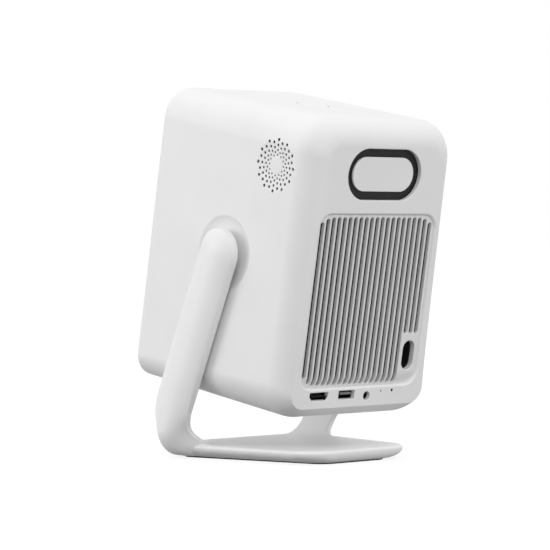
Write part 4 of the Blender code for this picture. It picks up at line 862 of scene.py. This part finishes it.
def grille_section(front, back):
    """Side view of a sheet as (depth, z), from the top of its outer face round to its inner face."""
    top = grille_top
    low = grille_bottom
    scoop_top = low + grille_scoop_height
    radius = (grille_scoop_height ** 2 + grille_scoop_depth ** 2) / (2 * grille_scoop_depth)
    outer = [(grille_depth + front, top)]
    inner = [(grille_depth + back, top)]
    steps = scoop_steps
    for step in range(steps + 1):
        z = scoop_top - grille_scoop_height * step / steps
        fall = radius - sqrt(radius * radius - (scoop_top - z) ** 2)
        outer.append((grille_depth + front + fall, z))
        inner.append((grille_depth + back + fall, z))
    outer.append((outer[-1][0], low))
    inner.append((inner[-1][0], low))
    return outer + inner[::-1]


def grille_sheet(name, front, back, margin):
    section = grille_section(front, back)
    sheet = loft(name, [[(x, half_depth - depth, z) for depth, z in section]
                        for x in (-grille_half_width, grille_half_width)])
    trim = prism("trim", grille_outline(-margin), -overrun, half_depth / 2, from_rear)
    return combine(sheet, [trim], "INTERSECT")


def inlet_mouth(offset):
    return upright_pill((inlet_x, inlet_z), inlet_mouth_half_width + offset, inlet_mouth_half_height + offset,
                        corner_steps)


def make_grille():
    panel = grille_sheet("grille_panel", 0.0, grille_skin, seam)
    join(panel, prism("inlet_collar", inlet_mouth(inlet_collar), grille_depth + grille_skin / 2,
                      grille_depth + grille_thickness + gap - seam, from_rear))
    slots = []
    for index in range(slot_count):
        x = (index - (slot_count - 1) / 2) * slot_pitch
        bottom, top = slot_ends(x)

        def outline(offset, x=x, bottom=bottom, top=top):
            return upright_pill((x, (top + bottom) / 2), slot_width / 2 + offset,
                                (top - bottom) / 2 + offset, corner_steps // 2)

        slots.append(lipped("slot", outline, rib_round, 4 * grille_thickness, from_rear, grille_depth))
    slots.append(lipped("inlet_cut", inlet_mouth, lip, 4 * grille_thickness, from_rear, grille_depth))
    cut(panel, *slots)
    place_on_head(panel, "white_grille", "white_grille", "rear_grille")
    # A black dust filter behind the slots; its black is also painted shade for the dark inside of the casing
    mesh = grille_sheet("shade_dust_filter", grille_skin + seam, grille_skin + filter_thickness, gap)
    cut(mesh, prism("filter_cut", inlet_mouth(inlet_collar + gap), 0.0, 2 * collar_depth, from_rear))
    place_on_head(mesh, "black_rubber", "speaker_cloth")


make_grille()


# Mains inlet
def make_inlet():
    mouth = grille_depth + grille_thickness + gap

    def outline(offset):
        return upright_pill((inlet_x, inlet_z), inlet_half_width + offset, inlet_half_height + offset,
                            corner_steps)

    body = prism("inlet_body", outline(inlet_wall), mouth, mouth + inlet_body_length, from_rear)
    cut(body, prism("inlet_bore", outline(0.0), mouth - overrun, mouth + inlet_floor_depth, from_rear))
    place_on_head(body, "black_plastic", "black_plastic", "mains_inlet")
    for index, side in enumerate((1, -1)):
        floor = mouth + inlet_floor_depth
        centre = (inlet_x, inlet_z + side * inlet_pin_spacing / 2)
        outline = round_outline(centre, inlet_pin_radius, small_steps)
        pin = rounded_prism("inlet_pin_%d" % (index + 1), outline, inlet_pin_radius / 2,
                            floor - inlet_pin_length, floor + fine_lip, from_rear)
        place_on_head(pin, "socket_metal", "socket_metal")


make_inlet()


# Badge field, left bare
def make_badge():
    tray_front = wall + gap
    tray = prism("badge_bed", badge_outline(badge_tray_lip), tray_front, tray_front + badge_tray_thickness,
                 from_rear)
    place_on_head(tray, "black_tray", "black_tray", "badge_tray")

    def outline(offset):
        return pill((0.0, badge_z), badge_cover_half_length + offset, badge_cover_half_height + offset,
                    2 * corner_steps)

    cover = rounded_prism("badge_plate", outline, lip / 2, badge_cover_depth, wall, from_rear)
    place_on_head(cover, "white_badge", "white_badge", "badge_cover")


make_badge()


# Sockets
def socket_can(name, outline, node):
    """A thin metal can with a painted-shade black lining inside, set back from the can's bright front edge.
    """
    end = gap + socket_depth - socket_floor
    can = prism(name, outline(-gap), gap, gap + socket_depth, from_rear)
    cut(can, prism(name + "_hollow", outline(-gap - socket_wall), gap - overrun, end, from_rear))
    place_on_head(can, "socket_metal", "socket_metal", node)
    shade_lining = prism(name + "_shade_lining", outline(-gap - socket_wall - seam), shade_lining_depth, end - seam, from_rear)
    cut(shade_lining, prism("shade_lining_hollow", outline(-gap - socket_wall - shade_lining_wall), 0.0, end - 2 * shade_lining_wall,
                      from_rear))
    place_on_head(shade_lining, "black_plastic", "socket_shade_black")


def tongue(name, low, high, finish):
    place_on_head(bevelled(block(name, low, high), fine_lip), "black_plastic", finish)


def contacts(name, count, span, centre, width, thickness, top, start, end):
    """A row of flat contacts lying on a socket's tongue."""
    body = bmesh.new()
    for index in range(count):
        x = centre + span * (index / (count - 1) - 1 / 2)
        matrix = Matrix.Translation((x, (start + end) / 2, top + thickness / 2))
        size = Matrix.Diagonal((width, end - start, thickness, 1.0))
        bmesh.ops.create_cube(body, size=1.0, matrix=matrix @ size)
    place(moved(new_piece(name, body), head), "head", "brass", "gold_contact")


def make_sockets():
    socket_can("hdmi_can", hdmi_outline, "hdmi_socket")
    socket_can("usb_can", usb_outline, "usb_socket")
    floor = half_depth - gap - socket_depth + socket_floor + 2 * shade_lining_wall
    front = floor + tongue_length
    half = hdmi_foot_width / 2
    tongue("hdmi_tongue", (hdmi_x - half, floor, hdmi_z - tongue_thickness / 2),
           (hdmi_x + half, front, hdmi_z + tongue_thickness / 2), "socket_shade_black")
    start = floor + contact_start
    end = front - hdmi_contact_setback
    contacts("hdmi_contacts_top", hdmi_top_contacts, hdmi_top_span, hdmi_x, hdmi_contact_width,
             hdmi_contact_thickness, hdmi_z + tongue_thickness / 2, start, end)
    contacts("hdmi_contacts_low", hdmi_low_contacts, hdmi_low_span, hdmi_x, hdmi_contact_width,
             hdmi_contact_thickness, hdmi_z - tongue_thickness / 2 - hdmi_contact_thickness, start, end)
    low = usb_z + usb_height / 2 - gap - socket_wall - tongue_inset
    half = usb_width / 2 - tongue_inset
    tongue("usb_tongue", (usb_x - half, floor, low), (usb_x + half, front, low + tongue_thickness),
           "grey_plastic")
    contacts("usb_contacts", usb_contact_count, usb_width / 2, usb_x, usb_contact_width,
             usb_contact_thickness, low - usb_contact_thickness, start, front - usb_contact_setback)
    outer = jack_radius - gap
    length = jack_length - jack_face_depth
    profile = [(0.0, -length + socket_floor), (jack_bore, -length + socket_floor), (jack_bore, -lip),
               (jack_bore + lip / 2, 0.0), (outer - fine_lip, 0.0), (outer, -fine_lip), (outer, -length),
               (0.0, -length)]
    jack = turned("jack_barrel", profile, small_steps)
    mouth = Matrix.Translation((jack_x, half_depth - jack_face_depth - gap, jack_z))
    moved(jack, head @ mouth @ Matrix.Rotation(-pi / 2, 4, "X"))
    shaded(jack)
    place(jack, "head", "black_plastic", "black_plastic", "audio_jack")


make_sockets()


# Power button with a slightly hollow face
def make_button():
    flange_top = -wall - gap
    rim = button_radius - button_groove
    profile = []
    for step in range(button_steps + 1):
        share = step / button_steps
        profile.append(((rim - button_lip) * step / button_steps, -gap * (1 - share ** 2)))
    for sine, cosine in quarter(button_edge_steps, 1):
        profile.append((rim - button_lip * (1 - sine), -button_lip * (1 - cosine)))
    profile += [(rim, flange_top), (button_radius + button_flange, flange_top),
                (button_radius + button_flange, flange_top - button_flange_thickness),
                (0.0, flange_top - button_flange_thickness)]
    button = turned("button_cap", profile, round_steps)
    moved(button, head @ Matrix.Translation((0.0, button_y, half_height)))
    shaded(button)
    place(button, "power_button", "white_button", "white_button", "power_button")


make_button()


# Front panel with its windows
def sensor_outline(offset):
    return pill((0.0, sensor_z), sensor_half_length + offset, sensor_half_height + offset, corner_steps)


def make_front():
    def panel_outline(offset):
        return front_outline(offset - gap)

    panel = rounded_prism("front_cover", panel_outline, fine_lip, panel_inset, panel_inset + panel_thickness,
                          from_front)
    lens_outline = round_outline((0.0, lens_z), lens_window_radius)
    cut(panel,
        lipped("lens_pocket", lambda offset: lens_outline(offset + gap), fine_lip,
               panel_inset + lens_window_thickness + gap, from_front, panel_inset),
        prism("lens_passage", lens_outline(-window_ledge), 0.0, panel_thickness * 2, from_front),
        lipped("sensor_pocket", lambda offset: sensor_outline(offset + gap), fine_lip,
               panel_inset + sensor_window_thickness + gap, from_front, panel_inset),
        prism("sensor_passage", sensor_outline(-window_ledge / 2), 0.0, panel_thickness * 2, from_front))
    place_on_head(panel, "dark_panel", "dark_panel", "front_panel")
    windows = [("lens_cover", lens_outline, lens_window_thickness, "lens_window"),
               ("sensor_cover", sensor_outline, sensor_window_thickness, "sensor_window")]
    for name, outline, thickness, node in windows:
        window = rounded_prism(name, outline, fine_lip, panel_inset, panel_inset + thickness, from_front)
        place_on_head(window, "dark_glass", "dark_glass", node)


make_front()


# Stand: a tapered base plate whose rim curves under, and two arms that bend into it
arm_half = arm_width / 2
arm_down = Vector((-sin(arm_lean), -cos(arm_lean)))
arm_across = Vector((cos(arm_lean), -sin(arm_lean)))
pivot_point = Vector((0.0, pivot_height))
base_low = pad_lift
base_high = base_low + base_thickness
base_edge_z = base_low + base_edge_height
crown_steps = 12
cap_steps = 22
arm_steps = 12
bend_steps = 46
rim_rings = 10
rear_face_steps = 10
corner_points = 14
crown_share = 0.97
rounding_limit = 0.97


def drawn_in(corners, distance):
    """A counter-clockwise polygon with each edge moved inwards."""
    shifted = []
    for index, corner in enumerate(corners):
        before = (Vector(corner) - Vector(corners[index - 1])).normalized()
        after = (Vector(corners[(index + 1) % len(corners)]) - Vector(corner)).normalized()
        inwards = Vector((-before.y - after.y, before.x + after.x)) / (1 + before.dot(after))
        shifted.append(Vector(corner) + inwards * distance)
    return shifted


def plan_outline(half_corners, radii, inset):
    """A plan outline that is alike on both sides of the middle, drawn in by the inset."""
    corners = list(half_corners) + [(-x, y) for x, y in reversed(half_corners)]
    rounding = [max(radius - inset, radius / 4) for radius in radii + radii[::-1]]
    return [Vector(point) for point in rounded_polygon(drawn_in(corners, inset), rounding, corner_points)]


def base_outline(inset):
    return plan_outline([(base_front_half_width, base_front), (base_shoulder_half_width, base_shoulder_y),
                         (base_rear_half_width, base_rear)], base_corner_radii, inset)


def foot_outline(inset):
    return plan_outline([(foot_front_half_width, foot_front), (foot_shoulder_half_width, base_shoulder_y),
                         (foot_rear_half_width, foot_rear)], foot_corner_radii, inset)


def base_rings():
    """The plate from its foot, out round the rim and in over the top edge."""
    rings = []
    for sine, cosine in quarter(rim_rings):
        height = base_low + base_edge_height * (1 - cosine)
        rings.append([foot.lerp(rim, sine).to_3d() + Vector((0.0, 0.0, height))
                      for foot, rim in zip(foot_outline(0.0), base_outline(0.0))])
    for sine, cosine in quarter(rim_rings, 1):
        height = base_edge_z + (base_high - base_edge_z) * sine
        rings.append([place.to_3d() + Vector((0.0, 0.0, height))
                      for place in base_outline(base_top_round * (1 - cosine))])
    return rings


def bend_point(share):
    """A place down the arm's inner face, round the bend and in along the base, and its outward angle."""
    low = base_high - buried_depth
    drop = bend_top - low - inner_bend_radius
    quarter = pi / 2 * inner_bend_radius
    run = arm_inner_x - inner_bend_radius - bend_end
    distance = share * (drop + quarter + run)
    angle = min(max((distance - drop) / inner_bend_radius, 0.0), pi / 2)
    x = arm_inner_x - inner_bend_radius * (1 - cos(angle)) - max(distance - drop - quarter, 0.0)
    return Vector((x, 0.0, low + inner_bend_radius * (1 - sin(angle)) + max(drop - distance, 0.0))), angle


def outer_reach(angle):
    """From the bend's centre to the rounded outermost line, along a direction below the level."""
    low = base_low + buried_depth
    widest = arm_inner_x + arm_edge_thickness + arm_crown
    centre = Vector((arm_inner_x - inner_bend_radius, base_high - buried_depth + inner_bend_radius))
    corner = Vector((widest - outer_bend_radius, low + outer_bend_radius))
    along = Vector((cos(angle), -sin(angle)))
    if angle < pi / 4 and centre.y - (widest - centre.x) * tan(angle) >= corner.y:
        return (widest - centre.x) / cos(angle)
    if angle > pi / 4 and centre.x + (centre.y - low) / tan(angle) <= corner.x:
        return (centre.y - low) / sin(angle)
    offset = corner - centre
    middle = offset.dot(along)
    return middle + sqrt(max(outer_bend_radius ** 2 - offset.length_squared + middle * middle, 0.0))


def blend(share):
    share = min(max(share, 0.0), 1.0)
    return share * share * (3 - 2 * share)


def front_edge_y(z):
    """The arm's leaning front edge, blended into the base's straight one."""
    front = base_front + buried_depth
    meet = pivot_height + (front + arm_half / cos(arm_lean)) / tan(arm_lean)
    if z >= meet + base_front_blend:
        return -(pivot_height - z) * tan(arm_lean) - arm_half / cos(arm_lean)
    if z <= meet - base_front_blend:
        return front
    return front + tan(arm_lean) * (z - meet + base_front_blend) ** 2 / (4 * base_front_blend)


def base_side_x(z):
    """Half width of the base at the arm, at a height."""
    if z >= base_edge_z:
        share = min((z - base_edge_z) / (base_high - base_edge_z), 1.0)
        return base_shoulder_half_width - base_top_round * (1 - sqrt(1 - share * share))
    share = min((base_edge_z - z) / base_edge_height, 1.0)
    inset = base_shoulder_half_width - foot_shoulder_half_width
    return base_shoulder_half_width - inset * (1 - sqrt(1 - share * share))


def rear_edge_y(x, z):
    """The arm's leaning rear edge, with the fillet where it meets the top and the side of the base."""
    above = max(z - base_high, 0.0) / arm_fillet
    beside = max(x - base_side_x(z), 0.0) / arm_fillet
    share = max(1 - sqrt(above * above + beside * beside), 0.0)
    leaning = -(pivot_height - z) * tan(arm_lean) + arm_half / cos(arm_lean)
    return leaning + arm_fillet * (1 - sqrt(1 - share * share))


def edge_side(inner, outer, inwards, width, height):
    """From the inner face round its edge and down the edge face, to just short of the outer corner."""
    through = outer - inner
    height = min(height, through.length * rounding_limit)
    through = through.normalized()
    return [inner + inwards * width * (1 - sine) + through * height * (1 - cosine)
            for sine, cosine in quarter(rim_rings)]


def arm_section(inner, outer, outwards, rounding, crown, reaches, rear_y=None):
    """A closed ring of the arm. The inner and outer pairs are its front and rear corners."""
    inwards = (inner[1] - inner[0]).normalized()
    front_side = edge_side(inner[0], outer[0], inwards, *rounding)
    rear_side = edge_side(inner[1], outer[1], -inwards, *rounding)
    rear_face = [rear_side[-1].lerp(outer[1], step / rear_face_steps) for step in range(1, rear_face_steps)]
    if rear_y:
        for place in rear_face:
            place.y = rear_y(place.x, place.z)
    width = (outer[1] - outer[0]).length
    spread = [(1 - cosine) / width for sine, cosine in quarter(crown_steps)]
    shares = [reaches[0] * share for share in spread] + [1 - reaches[1] * share for share in reversed(spread)]
    outer_face = [outer[0].lerp(outer[1], share) + outwards * crown(share * width, width) for share in shares]
    return front_side + outer_face + rear_face[::-1] + rear_side[::-1]


def crown_profile(height, reaches, powers):
    """The crown's rise over a width, from its front edge and from its rear edge."""
    def rise(distance, width):
        return height * min((1 - max(1 - off / reach, 0.0) ** 2) ** power
                            for off, reach, power in zip((distance, width - distance), reaches, powers))
    return rise


def straight_section(ends, rounding, crown, reaches):
    """A section of the arm above its bend, between a front and a rear end given as (y, z)."""
    inner = [Vector((arm_inner_x, *end)) for end in ends]
    outer = [Vector((arm_inner_x + arm_edge_thickness, *end)) for end in ends]
    return arm_section(inner, outer, Vector((1.0, 0.0, 0.0)), rounding, crown, reaches)


def arm_rings():
    """Sections from the round end of the arm at the pivot down to its foot inside the base."""
    rings = []
    rounding = (arm_inner_round, arm_inner_round)
    for step in range(cap_steps):
        angle = pi / 2 * (step + 1 / 2) / (cap_steps + 1 / 2)
        back = arm_half * cos(angle)
        half = arm_half * sin(angle)
        middle = pivot_point - arm_down * back
        ends = [middle - arm_across * half, middle + arm_across * half]

        def dome(distance, width, back=back):
            off = distance - width / 2
            share = min((back * back + off * off) / arm_half ** 2, 1.0)
            return arm_crown * (1 - share) ** arm_crown_power

        small = min(arm_inner_round, half / 2)
        rings.append(straight_section(ends, (small, small), dome, (half * crown_share, half * crown_share)))
    front_start = pivot_point - arm_across * arm_half
    rear_start = pivot_point + arm_across * arm_half
    arm_reaches = (arm_half * crown_share, arm_half * crown_share)
    crown = crown_profile(arm_crown, arm_reaches, (arm_crown_power, arm_crown_power))
    for step in range(arm_steps):
        share = step / arm_steps
        ends = [start + arm_down * ((start.y - bend_top) * share / cos(arm_lean))
                for start in (front_start, rear_start)]
        ends[0].x = max(ends[0].x, front_edge_y(ends[0].y))
        rings.append(straight_section(ends, rounding, crown, arm_reaches))
    for step in range(bend_steps + 1):
        share = step / bend_steps
        change = blend(share)
        place, angle = bend_point(share)
        outwards = Vector((cos(angle), 0.0, -sin(angle)))
        edge = place + outwards * (arm_edge_thickness * (1 - change) + (base_high - base_edge_z) * change)
        inner = [Vector((place.x, front_edge_y(place.z), place.z)),
                 Vector((place.x, rear_edge_y(place.x, place.z), place.z))]
        outer = [Vector((edge.x, front_edge_y(edge.z), edge.z)),
                 Vector((edge.x, rear_edge_y(edge.x, edge.z), edge.z))]
        start = (outer[1] - outer[0]).length / 2 * crown_share * (1 - change)
        reaches = (start + base_front_reach * change, start + base_rear_reach * change)
        height = outer_reach(angle) - inner_bend_radius - (edge - place).length
        power = arm_crown_power + bend_crown_soften * sin(pi * share)
        power -= (arm_crown_power - 1 / 2) * blend(2 * share - 1)
        rounding = (arm_inner_round + (base_top_round - arm_inner_round) * change,
                    arm_inner_round + (base_high - base_edge_z - arm_inner_round) * change)
        soft = power + rear_crown_soften * blend((share - rear_soften_start) / (1 - rear_soften_start))
        crown = crown_profile(height, reaches, (power, soft))
        rings.append(arm_section(inner, outer, outwards, rounding, crown, reaches, rear_edge_y))
    return rings


def make_stand():
    stand = loft("yoke", base_rings())
    arms = loft("arms", arm_rings())
    mirror = arms.modifiers.new("other_arm", "MIRROR")
    mirror.use_axis = (True, False, False)
    fixed_form(arms)
    hub_tip = half_width - dish_depth + gap
    hubs = []
    bores = []
    for side in (1, -1):
        def spot(u, v, depth, side=side):
            return (side * (arm_inner_x + depth), u * side, v)

        hubs.append(prism("hub", circle((0.0, pivot_height), hub_radius, round_steps), hub_tip - arm_inner_x,
                          arm_edge_thickness / 2, spot))
        bores.append(prism("bore", circle((0.0, pivot_height), shaft_radius + gap, small_steps),
                           hub_tip - arm_inner_x - overrun, shaft_seat_depth, spot))
    join(stand, arms, *hubs)

    def from_below(u, v, depth):
        return (u, v, depth)

    recess = prism("pad_recess", foot_outline(pad_inset - gap), -overrun, pad_thickness + gap, from_below)
    cut(stand, recess, *bores)
    shaded(stand)
    place(stand, "stand", "white_stand", "white_stand", "stand_yoke")
    pad = prism("foot_pad", foot_outline(pad_inset), 0.0, pad_thickness, from_below)
    shaded(pad)
    place(pad, "stand", "black_rubber", "black_rubber", "base_pad")


make_stand()

# The solids that stay take the finish of their slot
slot_of = {entry["node"]: entry["material_slot"] for entry in frame["record"]["subparts"]}
for node, shown in frame["nodes"].items():
    finish = finishes[slot_of[node]]
    shown.data.materials.clear()
    shown.data.materials.append(finish)

# Camera at the photograph's place: it looks along the horizontal turn and the slight drop found there
camera_turn = radians(42.753)
camera_drop = radians(1.052)
camera_place = Vector((1.16572, 1.23943, 0.14861))
focal_length = 172.43
sensor_width = 36.0
camera_reach = 20.0
back = Vector((sin(camera_turn) * cos(camera_drop), cos(camera_turn) * cos(camera_drop), sin(camera_drop)))
right = Vector((-cos(camera_turn), sin(camera_turn), 0.0))
up = back.cross(right)
camera_data = bpy.data.cameras.new("camera")
camera_data.lens = focal_length
camera_data.sensor_width = sensor_width
camera_data.clip_end = camera_reach
camera = bpy.data.objects.new("camera", camera_data)
camera.matrix_world = Matrix.Translation(camera_place) @ Matrix((right, up, back)).transposed().to_4x4()
bpy.context.scene.collection.objects.link(camera)
bpy.context.scene.camera = camera


# Stage: a wide pale floor, white where it is looked at, with the shadow of the object on it
def looked_at(nodes, links):
    """One where the camera, a mirror or glass looks straight at the surface, and zero for lighting."""
    path = nodes.new("ShaderNodeLightPath")
    seen = path.outputs["Is Camera Ray"]
    for ray in ("Is Glossy Ray", "Is Transmission Ray"):
        either = nodes.new("ShaderNodeMath")
        either.operation = "MAXIMUM"
        links.new(seen, either.inputs[0])
        links.new(path.outputs[ray], either.inputs[1])
        seen = either.outputs[0]
    return seen


def make_floor():
    body = bmesh.new()
    bmesh.ops.create_grid(body, x_segments=1, y_segments=1, size=floor_size)
    floor = new_piece("floor", body)
    material, shader = shader_of("floor_pale")
    nodes, links = links_of(material)
    shader.inputs["Base Color"].default_value = (floor_shade, floor_shade, floor_shade, 1.0)
    shader.inputs["Roughness"].default_value = floor_roughness
    shader.inputs["Specular IOR Level"].default_value = 0.0
    glow = nodes.new("ShaderNodeEmission")
    glow.inputs["Color"].default_value = (1.0, 1.0, 1.0, 1.0)
    strength = nodes.new("ShaderNodeMath")
    strength.operation = "MULTIPLY"
    strength.inputs[1].default_value = floor_glow
    links.new(looked_at(nodes, links), strength.inputs[0])
    links.new(strength.outputs[0], glow.inputs["Strength"])
    both = nodes.new("ShaderNodeAddShader")
    links.new(shader.outputs[0], both.inputs[0])
    links.new(glow.outputs[0], both.inputs[1])
    links.new(both.outputs[0], nodes["Material Output"].inputs["Surface"])
    floor.data.materials.append(material)


def make_world():
    world = bpy.data.worlds.new("studio")
    bpy.context.scene.world = world
    world.use_nodes = True
    nodes, links = world.node_tree.nodes, world.node_tree.links
    nodes.clear()
    output = nodes.new("ShaderNodeOutputWorld")
    light = nodes.new("ShaderNodeBackground")
    light.inputs["Color"].default_value = (1.0, 1.0, 1.0, 1.0)
    light.inputs["Strength"].default_value = sky_strength
    seen = nodes.new("ShaderNodeBackground")
    seen.inputs["Color"].default_value = (1.0, 1.0, 1.0, 1.0)
    seen.inputs["Strength"].default_value = 1.0
    mix = nodes.new("ShaderNodeMixShader")
    links.new(looked_at(nodes, links), mix.inputs["Fac"])
    links.new(light.outputs[0], mix.inputs[1])
    links.new(seen.outputs[0], mix.inputs[2])
    links.new(mix.outputs[0], output.inputs["Surface"])


def area_light(name, location, target, size, power):
    data = bpy.data.lights.new(name, "AREA")
    data.shape = "DISK"
    data.size = size
    data.energy = power
    lamp = bpy.data.objects.new(name, data)
    lamp.location = location
    lamp.rotation_euler = (Vector(target) - Vector(location)).to_track_quat("-Z", "Y").to_euler()
    bpy.context.scene.collection.objects.link(lamp)


floor_size = 14.0
floor_roughness = 0.9
floor_shade = 0.18
floor_glow = 0.85
sky_strength = 1.0
make_floor()
make_world()
area_light("side_lamp", location=(1.9, -1.7, 0.42), target=(0.0, 0.0, 0.12), size=1.4, power=22.0)
area_light("rear_lamp", location=(0.4, 2.4, 0.5), target=(0.0, 0.0, 0.10), size=1.6, power=15.0)

bpy.context.scene.view_settings.view_transform = "Standard"
